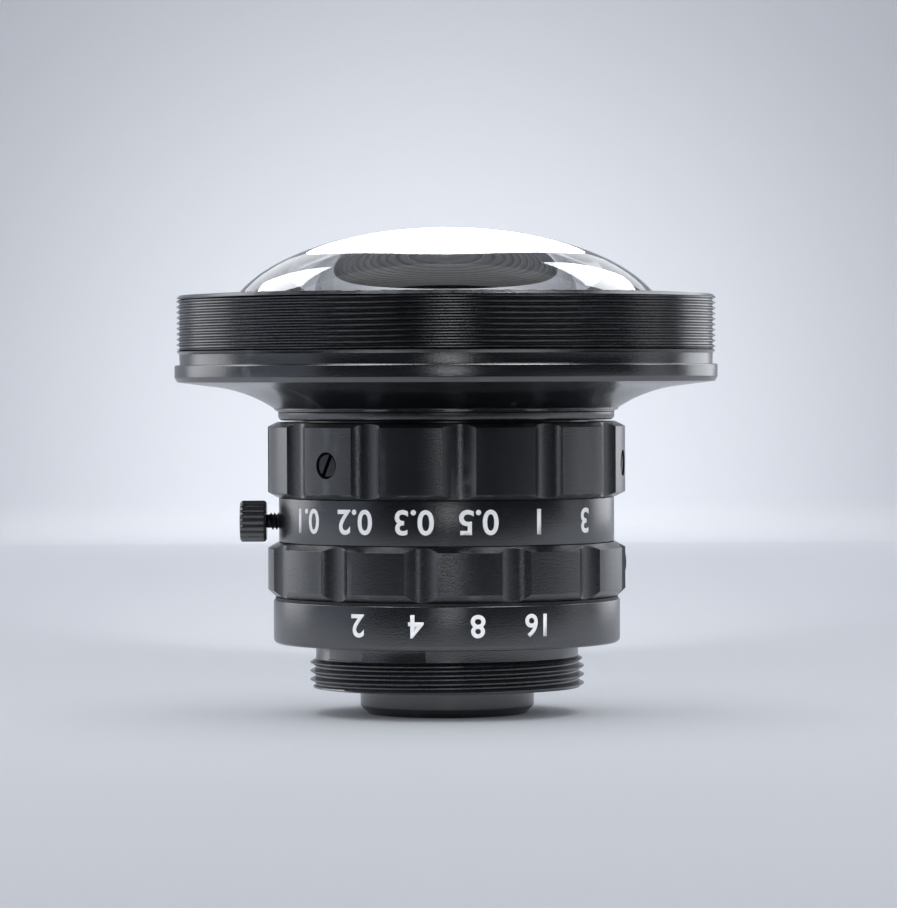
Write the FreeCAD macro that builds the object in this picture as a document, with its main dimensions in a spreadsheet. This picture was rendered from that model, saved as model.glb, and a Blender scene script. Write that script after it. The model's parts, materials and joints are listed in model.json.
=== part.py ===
import FreeCAD, Part
import Sketcher
import math
import os

# Prime lens with a 1 inch 32 thread rear mount.
# Millimetres, +Z up towards the front glass, origin on the optical axis under the rear stub.
# Angles are in degrees about +Z, from +X. The side that the photograph shows faces -Y.

os.makedirs("parts", exist_ok=True)

SIZES = {
    # Clearances: between fixed pieces, between running pieces, and between loose ones
    "seat_gap": 0.02,
    "run_gap": 0.05,
    "free_gap": 0.1,
    # Rear mount and its engraved ring: the thread's first crest is over the mount's lower end
    "mount_bottom": 2.44,
    "mount_length": 4.14,
    "mount_crest": 12.7,
    "mount_thread_depth": 0.5,
    "mount_pitch": 0.79375,
    "mount_first_crest": 0.17,
    "mount_turns": 4,
    "mount_relief_depth": 0.53,
    "mount_undercut": 0.15,
    "mount_lip_thickness": 0.76,
    "mount_wall": 1.0,
    "mount_floor": 0.82,
    "engraved_wall": 2.07,
    "engraved_corner": 0.5,
    "engraved_edge": 0.12,
    "engraved_height": 4.02,
    # Main barrel: walls are outside its bore, which the lens cell slides in
    "spigot_wall": 1.53,
    "iris_seat_wall": 2.45,
    "barrel_wall": 3.1,
    "barrel_height": 4.1,
    "barrel_edge": 0.1,
    "nose_wall": 1.85,
    "nose_length": 2.55,
    "snap_height": 1.55,
    "snap_thickness": 0.36,
    "snap_depth": 0.35,
    "snap_reach": 0.4,
    "snap_opening": 24,
    # Iris ring: its screw's height is over its lower face
    "iris_washer_thickness": 0.25,
    "iris_washer_width": 0.95,
    "iris_wall": 1.63,
    "iris_height": 5.0,
    "iris_lower_chamfer": 0.72,
    "iris_lower_slope": 0.68,
    "iris_upper_chamfer": 0.9,
    "iris_upper_slope": 0.5,
    "iris_flute_angle": 22,
    "flute_count": 12,
    "flute_cutter": 2.16,
    "flute_depth": 0.7,
    "drive_angle": 7,
    "drive_height": 3.0,
    "drive_shank": 0.6,
    "drive_head": 0.93,
    "drive_head_seat": 0.65,
    "drive_head_proud": 0.17,
    "drive_tip_gap": 0.17,
    "iris_range": 60,
    "slot_margin": 5,
    # Focus ring: its screws' height is over its lower face
    "focus_wall": 1.52,
    "focus_height": 6.95,
    "focus_chamfer": 0.88,
    "focus_slope": 0.45,
    "focus_flute_angle": 4,
    "nut_wall": 0.7,
    "nut_relief": 0.25,
    "set_screw_count": 3,
    "set_screw_angle": -131,
    "set_screw_height": 3.1,
    "set_screw_radius": 1.15,
    "set_screw_sink": 0.17,
    "set_screw_slot_width": 0.38,
    "set_screw_slot_depth": 0.5,
    "set_screw_slot_turn": -27,
    "focus_travel": 0.15,
    # Lens cell barrel: the pin's height is over the main barrel's plain band
    "iris_bore": 10.6,
    "cell_wall": 1.8,
    "cell_thread_rise": 0.9,
    "cell_thread_depth": 0.3,
    "cell_thread_start": 0.35,
    "cell_thread_pitch": 0.5,
    "cell_thread_turns": 7,
    "neck_gap": 0.15,
    "collar_width": 1.2,
    "collar_height": 0.77,
    "cell_nose_step": 2.8,
    "cell_nose_wall": 2.0,
    "cell_nose_length": 2.28,
    "cell_front_wall": 2.8,
    "front_bore_rise": 0.13,
    "cell_shelf_width": 1.4,
    "cell_shelf_thickness": 0.6,
    "pin_radius": 0.6,
    "pin_angle": 45,
    "pin_height": 0.7,
    "pin_reach": 0.7,
    # Front bell: its rises are over the lens cell's collar, and its steps outside that collar
    "lip_lower_step": 0.32,
    "lip_lower_rise": 0.18,
    "lip_step": 0.38,
    "lip_rise": 0.33,
    "bowl_width": 5.75,
    "bowl_rise": 2.31,
    "bowl_curve": 12.5,
    "flange_rise": 2.76,
    "flange_height": 1.6,
    "flange_radius": 25.17,
    "flange_edge": 0.1,
    "flange_corner_radial": 0.25,
    "flange_corner_axial": 0.45,
    "band_bottom_radius": 24.65,
    "band_top_radius": 24.77,
    "band_height": 1.42,
    "band_margin": 0.125,
    "rim_crest": 24.98,
    "rim_thread_depth": 0.29,
    "rim_pitch": 0.5,
    "rim_thread_turns": 9,
    "rim_height": 5.0,
    "rim_chamfer": 0.26,
    "rim_wall": 2.14,
    "bell_floor_thickness": 1.05,
    "second_ledge": 1.9,
    "glass_ledge": 3.0,
    # Front glass, its ring and its seal
    "seal_room": 1.06,
    "seal_step": 0.95,
    "seal_height": 1.1,
    "seal_thickness": 0.5,
    "ring_depth": 1.45,
    "ring_proud": 0.13,
    "ring_straight": 0.3,
    "ring_lap_bottom": 0.18,
    "ring_lap_top": 1.12,
    "dome_rise": 9.375,
    "dome_drop": 0.525,
    "dome_hollow": 15,
    "dome_thickness": 2.45,
    "notch_width": 1.4,
    "notch_depth": 0.5,
    # Ribbed baffle under the front glass
    "baffle_lap": 1.2,
    "baffle_flare": 2.6,
    "baffle_lip": 0.15,
    "baffle_pitch": 0.26,
    "baffle_lean": 0.1,
    # Second element
    "second_radius": 11.5,
    "second_edge": 1.5,
    "second_crown": 1.4,
    "second_land": 2.9,
    "second_hollow_depth": 1.8,
    # Group before the iris: edges are heights, crowns and hollows are the depths of curves
    "front_edge_land": 0.7,
    "front_spacer_height": 3.6,
    "third_edge": 1.6,
    "third_crown": 2.0,
    "third_hollow_depth": 1.8,
    "fourth_edge": 1.8,
    "fourth_crown": 2.2,
    "fourth_hollow_depth": 1.0,
    "fourth_land": 1.95,
    "cell_ring_thickness": 1.6,
    # Iris: the cam lies this far under the axis of the drive screw
    "housing_wall": 0.8,
    "housing_plate_thickness": 0.85,
    "housing_aperture": 3.4,
    "cover_thickness": 0.8,
    "cover_aperture": 4.2,
    "cam_drop": 0.85,
    "cam_thickness": 1.5,
    "cam_notch_depth": 1.2,
    "blade_space": 1.0,
    "blade_count": 6,
    "blade_inner": 2.7,
    "blade_outer": 5.5,
    "blade_ear": 7.05,
    "blade_thickness": 0.1,
    "blade_step": 0.15,
    "blade_start": -5,
    "blade_sweep": 125,
    "blade_ear_sweep": 36,
    "blade_pivot": 6.6,
    "blade_pin": 0.2,
    "blade_pin_angle": 26,
    "blade_pin_gap": 0.08,
    "blade_swing": 20.5,
    "blade_pivot_length": 0.45,
    # Rear cell and the group behind the iris
    "stub_radius": 8.05,
    "stub_chamfer": 0.75,
    "stub_wall": 1.45,
    "rear_collar_step": 0.4,
    "rear_collar_thickness": 0.5,
    "rear_thread_length": 2.2,
    "rear_lip_width": 0.6,
    "rear_lip_height": 0.9,
    "rear_land": 0.6,
    "rear_belly": 0.55,
    "rear_edge": 1.8,
    "rear_crown": 1.2,
    "rear_spacer_height": 2.3,
    "flint_edge": 1.7,
    "flint_hollow_depth": 0.45,
    "cement_depth": 0.75,
    "crown_edge": 1.0,
    "crown_rise": 1.2,
    "rear_ring_thickness": 1.4,
    # Lock screw and its pad: its height is over the lower edge of the barrel's plain band
    "lock_angle": 180,
    "lock_height": 1.89,
    "lock_shank": 0.8,
    "lock_thread_gap": 0.03,
    "lock_head": 1.935,
    "lock_head_gap": 1.15,
    "lock_head_length": 2.46,
    "lock_head_edge": 0.25,
    "lock_head_crown": 2.0,
    "lock_pad_radius": 0.6,
    "lock_pad_thickness": 0.35,
    "lock_knurl_count": 18,
    "lock_knurl_cutter": 0.2,
    "lock_knurl_depth": 0.14,
}

FULL_TURN = 360
THREAD_HALF_ANGLE = math.tan(math.radians(30))
CREST_SHARE = 0.125

doc = FreeCAD.newDocument("PrimeLens")
sheet = doc.addObject("Spreadsheet::Sheet", "Sizes")
for row, (alias, number) in enumerate(SIZES.items(), start=1):
    sheet.set(f"A{row}", alias)
    sheet.set(f"B{row}", str(number))
    sheet.setAlias(f"B{row}", alias)
doc.recompute()


class Dim:
    """A number, with the formula on the sheet that gives it."""

    def __init__(self, value, formula):
        self.value = float(value)
        self.formula = formula

    def __add__(self, other):
        other = as_dim(other)
        return Dim(self.value + other.value, f"({self.formula} + {other.formula})")

    def __sub__(self, other):
        other = as_dim(other)
        return Dim(self.value - other.value, f"({self.formula} - {other.formula})")

    def __mul__(self, other):
        other = as_dim(other)
        return Dim(self.value * other.value, f"({self.formula} * {other.formula})")

    def __truediv__(self, other):
        other = as_dim(other)
        return Dim(self.value / other.value, f"({self.formula} / {other.formula})")

    def __neg__(self):
        return Dim(-self.value, f"(0 - {self.formula})")


def as_dim(item):
    return item if isinstance(item, Dim) else Dim(item, repr(item))


class SheetSizes:
    """The sheet's cells by name, as Dims."""

    def __getattr__(self, alias):
        return Dim(sheet.get(alias), f"Sizes.{alias}")


S = SheetSizes()
ZERO = Dim(0, "0")


class Derived:
    """Heights and radii that follow from the sheet's sizes, piece on piece and ring in ring."""


D = Derived()


def derive_barrel_radii():
    """From the iris's bore outwards to the two grip rings."""
    D.cell_radius = S.iris_bore + S.cell_wall
    D.barrel_bore = D.cell_radius + S.run_gap
    D.barrel_spigot = D.barrel_bore + S.spigot_wall
    D.iris_seat = D.barrel_bore + S.iris_seat_wall
    D.barrel_radius = D.barrel_bore + S.barrel_wall
    D.nose_radius = D.barrel_bore + S.nose_wall
    D.engraved_radius = D.barrel_spigot + S.seat_gap + S.engraved_wall
    D.iris_washer_radius = D.iris_seat + S.run_gap + S.iris_washer_width
    D.iris_radius = D.iris_seat + S.run_gap + S.iris_wall
    D.snap_inner = D.nose_radius - S.snap_depth
    D.snap_outer = D.nose_radius + S.snap_reach
    D.nut_radius = D.nose_radius + S.run_gap + S.nut_wall
    D.focus_radius = D.nut_radius + S.seat_gap + S.focus_wall
    D.set_screw_top = D.focus_radius - S.set_screw_sink
    D.pin_tip = D.cell_radius - S.pin_reach
    D.lock_pad_face = D.cell_radius + S.free_gap
    D.lock_tip = D.lock_pad_face + S.lock_pad_thickness
    D.lock_head_bottom = D.barrel_radius + S.lock_head_gap
    D.lock_head_top = D.lock_head_bottom + S.lock_head_length
    D.mount_root = S.mount_crest - S.mount_thread_depth
    D.mount_relief = S.mount_crest - S.mount_relief_depth
    D.mount_bore = D.mount_root - S.mount_wall


def derive_cell_radii():
    """Inside the lens cell, and its thread, nose and collar."""
    D.front_bore = D.cell_radius - S.cell_front_wall
    D.cell_shelf_radius = D.front_bore - S.cell_shelf_width
    D.cell_thread_root = D.cell_radius + S.cell_thread_rise
    D.cell_thread_crest = D.cell_thread_root + S.cell_thread_depth
    D.cell_nose_bore = D.front_bore + S.cell_nose_step
    D.cell_nose_radius = D.cell_nose_bore + S.cell_nose_wall
    D.collar_radius = D.cell_nose_radius + S.collar_width
    D.cam_radius = S.iris_bore - S.seat_gap - S.housing_wall - S.run_gap
    D.drive_tip = D.cam_radius - S.cam_notch_depth + S.drive_tip_gap
    D.drive_head_seat = D.iris_seat + S.run_gap + S.drive_head_seat
    D.drive_head_top = D.iris_radius + S.drive_head_proud
    D.rear_bore = S.stub_radius - S.stub_wall
    D.rear_lip = D.rear_bore - S.rear_lip_width
    D.rear_collar_radius = D.cell_radius - S.rear_collar_step


def derive_bell_radii():
    """From the neck out to the flange, and from the rim's thread in to the front glass."""
    D.lip_lower_radius = D.collar_radius + S.lip_lower_step
    D.lip_radius = D.collar_radius + S.lip_step
    D.bowl_outer = D.collar_radius + S.bowl_width
    D.rim_root = S.rim_crest - S.rim_thread_depth
    D.ring_bore = D.rim_root - S.rim_wall
    D.seal_bore = D.ring_bore - S.seal_step
    D.seal_ring_radius = D.seal_bore - S.seal_room / 2
    D.bell_cavity = D.seal_bore - S.glass_ledge
    D.dome_radius = D.seal_bore - S.seal_room
    D.ring_inner_bottom = D.dome_radius - S.ring_lap_bottom
    D.ring_inner_top = D.dome_radius - S.ring_lap_top
    D.bell_floor_hole = S.second_radius - S.second_ledge
    D.baffle_throat = S.second_radius - S.baffle_lap
    D.baffle_mouth = D.baffle_throat + S.baffle_flare
    D.second_hollow = S.second_radius - S.second_land


def derive_barrel_heights():
    """Up the outside, from the mount to the neck."""
    D.shoulder = S.mount_bottom + S.mount_length
    D.mount_floor = D.shoulder + S.mount_floor
    D.engraved_top = D.shoulder + S.engraved_height
    D.iris_bottom = D.engraved_top + S.iris_washer_thickness + S.run_gap
    D.iris_top = D.iris_bottom + S.iris_height
    D.drive_level = D.iris_bottom + S.drive_height
    D.barrel_bottom_edge = D.iris_top + S.run_gap
    D.barrel_top = D.barrel_bottom_edge + S.barrel_height
    D.lock_level = D.barrel_bottom_edge + S.lock_height
    D.snap_level = D.barrel_top + S.snap_height
    D.pin_level = D.barrel_top + S.pin_height
    D.nose_top = D.barrel_top + S.nose_length
    D.focus_bottom = D.barrel_top + S.run_gap
    D.focus_top = D.focus_bottom + S.focus_height
    D.set_screw_level = D.focus_bottom + S.set_screw_height
    D.nut_bottom = D.focus_bottom + S.run_gap
    D.nut_top = D.focus_top - S.run_gap
    D.nut_thread_bottom = D.nose_top + S.nut_relief
    D.collar_bottom = D.focus_top + S.neck_gap
    D.collar_top = D.collar_bottom + S.collar_height


def derive_bell_heights():
    """From the neck up to the front glass."""
    D.lip_lower_height = D.collar_top + S.lip_lower_rise
    D.lip_height = D.collar_top + S.lip_rise
    D.bowl_outer_height = D.collar_top + S.bowl_rise
    D.flange_bottom = D.collar_top + S.flange_rise
    D.flange_top = D.flange_bottom + S.flange_height
    D.rim_thread_bottom = D.flange_top + S.band_height
    D.rim_top = D.rim_thread_bottom + S.rim_height
    D.ring_seat = D.rim_top - S.ring_depth
    D.ring_top = D.rim_top + S.ring_proud
    D.glass_seat = D.ring_seat - S.seal_height
    D.dome_centre = D.glass_seat - S.dome_drop
    D.cell_nose_top = D.collar_top + S.cell_nose_length
    D.bell_floor_bottom = D.cell_nose_top + S.free_gap
    D.bell_floor_top = D.bell_floor_bottom + S.bell_floor_thickness
    D.second_edge_top = D.bell_floor_top + S.second_edge
    D.second_apex = D.second_edge_top + S.second_crown
    D.second_hollow_apex = D.bell_floor_top + S.second_hollow_depth


def derive_cell_heights():
    """Up the inside: rear group, iris at its drive screw's level, and the group before it."""
    D.rear_edge_top = S.rear_lip_height + S.rear_edge
    D.rear_apex_low = S.rear_lip_height - S.rear_belly
    D.rear_apex_high = D.rear_edge_top + S.rear_crown
    D.flint_bottom = D.rear_edge_top + S.rear_spacer_height
    D.flint_hollow_apex = D.flint_bottom + S.flint_hollow_depth
    D.cement_edge = D.flint_bottom + S.flint_edge
    D.cement_apex = D.cement_edge - S.cement_depth
    D.crown_edge_top = D.cement_edge + S.crown_edge
    D.crown_apex = D.crown_edge_top + S.crown_rise
    D.cell_bottom = D.mount_floor + S.free_gap + S.rear_collar_thickness
    D.housing_bottom = D.cell_bottom + S.rear_thread_length
    D.cam_bottom = D.drive_level - S.cam_drop
    D.cam_top = D.cam_bottom + S.cam_thickness
    D.cover_top = D.cam_bottom - S.run_gap
    D.cover_bottom = D.cover_top - S.cover_thickness
    D.housing_plate = D.cam_top + S.blade_space
    D.housing_top = D.housing_plate + S.housing_plate_thickness
    D.cell_shelf = D.housing_top + S.cell_shelf_thickness
    D.front_bore_top = D.collar_top + S.front_bore_rise
    D.cell_thread_bottom = D.nut_thread_bottom + S.cell_thread_start
    D.fourth_edge_top = D.cell_shelf + S.fourth_edge
    D.fourth_apex = D.fourth_edge_top + S.fourth_crown
    D.fourth_hollow_apex = D.cell_shelf + S.fourth_hollow_depth
    D.third_bottom = D.fourth_edge_top + S.front_spacer_height
    D.third_edge_top = D.third_bottom + S.third_edge
    D.third_apex = D.third_edge_top + S.third_crown
    D.third_hollow_apex = D.third_bottom + S.third_hollow_depth


derive_barrel_radii()
derive_cell_radii()
derive_bell_radii()
derive_barrel_heights()
derive_bell_heights()
derive_cell_heights()

nodes = []


def node(item, label):
    """Note an object as a piece of its own, under the name of its file."""
    item.Label = label
    nodes.append(item)
    return item


def origin_feature(body, role):
    return next(item for item in body.Origin.OriginFeatures if item.Role == role)


def new_body(label):
    return node(doc.addObject("PartDesign::Body", label), label)


def arc_centre(start, end, radius, turn):
    """The centre of the short arc from start to end, turning left (1) or right (-1)."""
    middle = (start + end) * 0.5
    chord = end - start
    reach = math.sqrt(max(radius ** 2 - (chord.Length / 2) ** 2, 0.0))
    across = FreeCAD.Vector(-chord.y, chord.x, 0).normalize()
    return middle + across * reach * turn


def draw_outline(sketch, corners):
    """Draw a closed outline, each corner tied to its two formulas.

    A corner is (x, y), or (x, y, radius, turn) where an arc leaves it.
    """
    places = [FreeCAD.Vector(corner[0].value, corner[1].value, 0) for corner in corners]
    edges = []
    ends = []
    for i, corner in enumerate(corners):
        start = places[i]
        end = places[(i + 1) % len(places)]
        if len(corner) == 2:
            edges.append(Part.LineSegment(start, end))
            ends.append((1, 2))
            continue
        radius = corner[2].value
        turn = corner[3]
        centre = arc_centre(start, end, radius, turn)
        first, last = (start, end) if turn > 0 else (end, start)
        angles = [math.atan2(p.y - centre.y, p.x - centre.x) for p in (first, last)]
        if angles[1] < angles[0]:
            angles[1] += 2 * math.pi
        circle = Part.Circle(centre, FreeCAD.Vector(0, 0, 1), radius)
        edges.append(Part.ArcOfCircle(circle, angles[0], angles[1]))
        ends.append((1, 2) if turn > 0 else (2, 1))
    sketch.addGeometry(edges, False)
    rules = []
    formulas = []
    for i, corner in enumerate(corners):
        after = (i + 1) % len(corners)
        rules.append(Sketcher.Constraint("Coincident", i, ends[i][1], after, ends[after][0]))
        formulas.append(None)
        for kind, axis, length in (("DistanceX", -2, corner[0]), ("DistanceY", -1, corner[1])):
            if length.formula == ZERO.formula:
                rules.append(Sketcher.Constraint("PointOnObject", i, ends[i][0], axis))
                formulas.append(None)
            else:
                rules.append(Sketcher.Constraint(kind, -1, 1, i, ends[i][0], length.value))
                formulas.append(length.formula)
        if len(corner) > 2:
            rules.append(Sketcher.Constraint("Radius", i, corner[2].value))
            formulas.append(corner[2].formula)
    first_rule = sketch.ConstraintCount
    sketch.addConstraint(rules)
    for i, formula in enumerate(formulas):
        if formula:
            sketch.setExpression(f"Constraints[{first_rule + i}]", formula)


def turned(label, corners):
    """A body turned about Z from an outline of (radius, height) corners."""
    body = new_body(label)
    sketch = body.newObject("Sketcher::SketchObject", f"{label}_outline")
    sketch.AttachmentSupport = [(origin_feature(body, "XZ_Plane"), "")]
    sketch.MapMode = "FlatFace"
    draw_outline(sketch, corners)
    revolution = body.newObject("PartDesign::Revolution", f"{label}_turned")
    revolution.Profile = sketch
    revolution.ReferenceAxis = (sketch, ["V_Axis"])
    revolution.Angle = FULL_TURN
    body.Tip = revolution
    return body


def bind(item, **formulas):
    """Bind properties, named with two underscores for each dot, to their formulas."""
    for name, length in formulas.items():
        item.setExpression(name.replace("__", "."), length.formula)


def radial(angle):
    """The rotation that takes +Z to the level direction at this angle."""
    upright = FreeCAD.Rotation(FreeCAD.Vector(0, 1, 0), 90)
    return FreeCAD.Rotation(FreeCAD.Vector(0, 0, 1), angle) * upright


def about_z(angle):
    return FreeCAD.Rotation(FreeCAD.Vector(0, 0, 1), angle)


def cutter(body, kind, name, rotation):
    """A subtractive primitive on the body's base plane, turned by this rotation."""
    tool = body.newObject(f"PartDesign::Subtractive{kind}", name)
    tool.AttachmentSupport = [(origin_feature(body, "XY_Plane"), "")]
    tool.MapMode = "FlatFace"
    tool.AttachmentOffset = FreeCAD.Placement(FreeCAD.Vector(0, 0, 0), rotation)
    body.Tip = tool
    return tool


def radial_hole(body, name, radius, reach, height, angle):
    """A round hole from the axis out to this reach."""
    tool = cutter(body, "Cylinder", name, radial(angle))
    bind(tool, Radius=radius, Height=reach, AttachmentOffset__Base__z=height)


def sector_slot(body, name, reach, bottom, height, start, sweep):
    """A level slot through a wall, between two angles."""
    tool = cutter(body, "Cylinder", name, about_z(start))
    bind(tool, Radius=reach, Height=height, Angle=sweep, AttachmentOffset__Base__z=bottom)


def repeat_round(body, name, tool, count):
    """Repeat a cut evenly about the body's Z axis."""
    pattern = body.newObject("PartDesign::PolarPattern", name)
    pattern.Originals = [tool]
    pattern.Axis = (origin_feature(body, "Z_Axis"), [""])
    pattern.Angle = FULL_TURN
    bind(pattern, Occurrences=count)
    body.Tip = pattern


def flutes(body, name, centre, radius, bottom, height, count, angle):
    """Upright round flutes in the side of a turned body."""
    turn = about_z(angle)
    tool = cutter(body, "Cylinder", f"{name}_cut", turn)
    lean_x = Dim(math.cos(math.radians(angle)), f"cos({angle})")
    lean_y = Dim(math.sin(math.radians(angle)), f"sin({angle})")
    bind(
        tool,
        Radius=radius,
        Height=height,
        AttachmentOffset__Base__x=centre * lean_x,
        AttachmentOffset__Base__y=centre * lean_y,
        AttachmentOffset__Base__z=bottom,
    )
    repeat_round(body, f"{name}_pattern", tool, count)


def box_cut(body, name, length, width, depth, bottom, turn=0, offset=ZERO):
    """A box cut centred on the body's Z axis, or moved out along its own length."""
    tool = cutter(body, "Box", name, about_z(turn))
    lean_x = Dim(math.cos(math.radians(turn)), f"cos({turn})")
    lean_y = Dim(math.sin(math.radians(turn)), f"sin({turn})")
    start = offset - length / 2
    side = width / 2
    bind(
        tool,
        Length=length,
        Width=width,
        Height=depth,
        AttachmentOffset__Base__x=start * lean_x + side * lean_y,
        AttachmentOffset__Base__y=start * lean_y - side * lean_x,
        AttachmentOffset__Base__z=bottom,
    )
    return tool


def stand_radially(body, height, angle):
    """Turn a body whose own Z is its axis to point outwards at this height and angle."""
    body.Placement = FreeCAD.Placement(FreeCAD.Vector(0, 0, height.value), radial(angle))
    bind(body, Placement__Base__z=height)


def thread(crest, root, bottom, pitch, turns):
    """The corners of an external thread, drawn as rings, from its first root upwards."""
    flank = (crest - root) * THREAD_HALF_ANGLE
    land = pitch * CREST_SHARE
    corners = []
    for i in range(int(turns.value)):
        foot = bottom + pitch * i
        corners += [
            (root, foot),
            (crest, foot + flank),
            (crest, foot + flank + land),
            (root, foot + flank * 2 + land),
        ]
    return corners


def sphere_radius(edge, rise):
    """The radius of a cap that rises this far over this edge radius."""
    return (edge * edge + rise * rise) / (rise * 2)


def cap_up(edge, edge_height, apex):
    """The corner where an arc leaves the rim of a cap for its top on the axis."""
    return (edge, edge_height, sphere_radius(edge, apex - edge_height), 1)


def cap_down(edge, edge_height, apex):
    """The corner on the axis where an arc leaves for the rim of the surface under it."""
    return (ZERO, apex, sphere_radius(edge, apex - edge_height), -1)


def spanner_notches(body, name, reach, top, floor, turn=0):
    """Two notches across the top of a retaining ring."""
    return box_cut(body, name, reach * 2, S.notch_width, top - floor, floor, turn)


def make_rear_mount():
    """Threaded mount, its shoulder and the engraved ring, turned from one piece."""
    flank = S.mount_thread_depth * THREAD_HALF_ANGLE
    land = S.mount_pitch * CREST_SHARE
    first_foot = S.mount_bottom + S.mount_first_crest - land / 2 - flank
    teeth = thread(S.mount_crest, D.mount_root, first_foot, S.mount_pitch, S.mount_turns)
    bevel = S.mount_crest - S.mount_first_crest
    lip_top = S.mount_bottom + S.mount_lip_thickness
    undercut_top = D.shoulder + S.mount_undercut
    undercut_radius = S.mount_crest + S.free_gap
    turned("rear_mount", [
        (S.stub_radius + S.free_gap, S.mount_bottom),
        (bevel, S.mount_bottom),
        *teeth[1:],
        (D.mount_relief, teeth[-1][1]),
        (D.mount_relief, undercut_top),
        (undercut_radius, undercut_top),
        (undercut_radius, D.shoulder),
        (D.engraved_radius - S.engraved_corner, D.shoulder),
        (D.engraved_radius, D.shoulder + S.engraved_corner),
        (D.engraved_radius, D.engraved_top - S.engraved_edge),
        (D.engraved_radius - S.engraved_edge, D.engraved_top),
        (D.barrel_spigot + S.seat_gap, D.engraved_top),
        (D.barrel_spigot + S.seat_gap, D.mount_floor),
        (D.mount_bore, D.mount_floor),
        (D.mount_bore, lip_top),
        (S.stub_radius + S.free_gap, lip_top),
    ])


def make_main_barrel():
    """Fixed barrel: spigot, iris seat, plain band and the nose that the focus nut turns on."""
    bottom = D.mount_floor
    groove = D.snap_inner - S.seat_gap
    groove_bottom = D.snap_level - S.snap_thickness / 2 - S.seat_gap
    groove_top = D.snap_level + S.snap_thickness / 2 + S.seat_gap
    barrel = turned("main_barrel", [
        (D.barrel_bore, bottom),
        (D.barrel_spigot, bottom),
        (D.barrel_spigot, D.engraved_top),
        (D.iris_seat, D.engraved_top),
        (D.iris_seat, D.barrel_bottom_edge),
        (D.barrel_radius - S.barrel_edge, D.barrel_bottom_edge),
        (D.barrel_radius, D.barrel_bottom_edge + S.barrel_edge),
        (D.barrel_radius, D.barrel_top - S.barrel_edge),
        (D.barrel_radius - S.barrel_edge, D.barrel_top),
        (D.nose_radius, D.barrel_top),
        (D.nose_radius, groove_bottom),
        (groove, groove_bottom),
        (groove, groove_top),
        (D.nose_radius, groove_top),
        (D.nose_radius, D.nose_top),
        (D.barrel_bore, D.nose_top),
    ])
    half = S.drive_shank + S.free_gap
    start = SIZES["drive_angle"] - SIZES["slot_margin"]
    sweep = S.iris_range + S.slot_margin * 2
    reach = D.iris_seat + S.free_gap
    sector_slot(barrel, "barrel_iris_slot", reach, D.drive_level - half, half * 2, start, sweep)
    radial_hole(
        barrel, "barrel_lock_hole", S.lock_shank + S.lock_thread_gap,
        D.barrel_radius + S.free_gap, D.lock_level, SIZES["lock_angle"],
    )
    radial_hole(
        barrel, "barrel_pin_hole", S.pin_radius + S.seat_gap,
        D.nose_radius + S.free_gap, D.pin_level, SIZES["pin_angle"],
    )


def make_focus_snap_ring():
    """Open ring that keeps the focus nut on the barrel's nose."""
    bottom = D.snap_level - S.snap_thickness / 2
    top = D.snap_level + S.snap_thickness / 2
    ring = turned("focus_snap_ring", [
        (D.snap_inner, bottom),
        (D.snap_outer, bottom),
        (D.snap_outer, top),
        (D.snap_inner, top),
    ])
    reach = D.snap_outer + S.free_gap
    sector_slot(ring, "snap_ring_opening", reach, bottom, S.snap_thickness, 0, S.snap_opening)


def make_guide_pin():
    """Pin through the barrel's nose, whose tip keeps the lens cell from turning."""
    head = D.nose_radius - S.run_gap
    pin = turned("guide_pin", [
        (ZERO, D.pin_tip),
        (S.pin_radius, D.pin_tip),
        (S.pin_radius, head),
        (ZERO, head),
    ])
    stand_radially(pin, D.pin_level, SIZES["pin_angle"])


def make_iris_washer():
    """Friction washer under the iris ring."""
    turned("iris_washer", [
        (D.iris_seat + S.run_gap, D.engraved_top),
        (D.iris_washer_radius, D.engraved_top),
        (D.iris_washer_radius, D.engraved_top + S.iris_washer_thickness),
        (D.iris_seat + S.run_gap, D.engraved_top + S.iris_washer_thickness),
    ])


def make_iris_grip_ring():
    """Fluted iris ring with the hole for its drive screw."""
    top = D.iris_top
    bore = D.iris_seat + S.run_gap
    ring = turned("iris_grip_ring", [
        (bore, D.iris_bottom),
        (D.iris_radius - S.iris_lower_chamfer, D.iris_bottom),
        (D.iris_radius, D.iris_bottom + S.iris_lower_slope),
        (D.iris_radius, top - S.iris_upper_slope),
        (D.iris_radius - S.iris_upper_chamfer, top),
        (bore, top),
    ])
    centre = D.iris_radius - S.flute_depth + S.flute_cutter
    flutes(
        ring, "iris_flutes", centre, S.flute_cutter, D.iris_bottom, top - D.iris_bottom,
        S.flute_count, SIZES["iris_flute_angle"],
    )
    angle = SIZES["drive_angle"]
    reach = D.iris_radius + S.free_gap
    radial_hole(
        ring, "iris_screw_hole", S.drive_shank + S.seat_gap, reach, D.drive_level, angle,
    )
    seat = cutter(ring, "Cylinder", "iris_screw_seat", radial(angle))
    lean_x = Dim(math.cos(math.radians(angle)), f"cos({angle})")
    lean_y = Dim(math.sin(math.radians(angle)), f"sin({angle})")
    bind(
        seat,
        Radius=S.drive_head + S.seat_gap,
        Height=reach - D.drive_head_seat,
        AttachmentOffset__Base__x=D.drive_head_seat * lean_x,
        AttachmentOffset__Base__y=D.drive_head_seat * lean_y,
        AttachmentOffset__Base__z=D.drive_level,
    )


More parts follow.
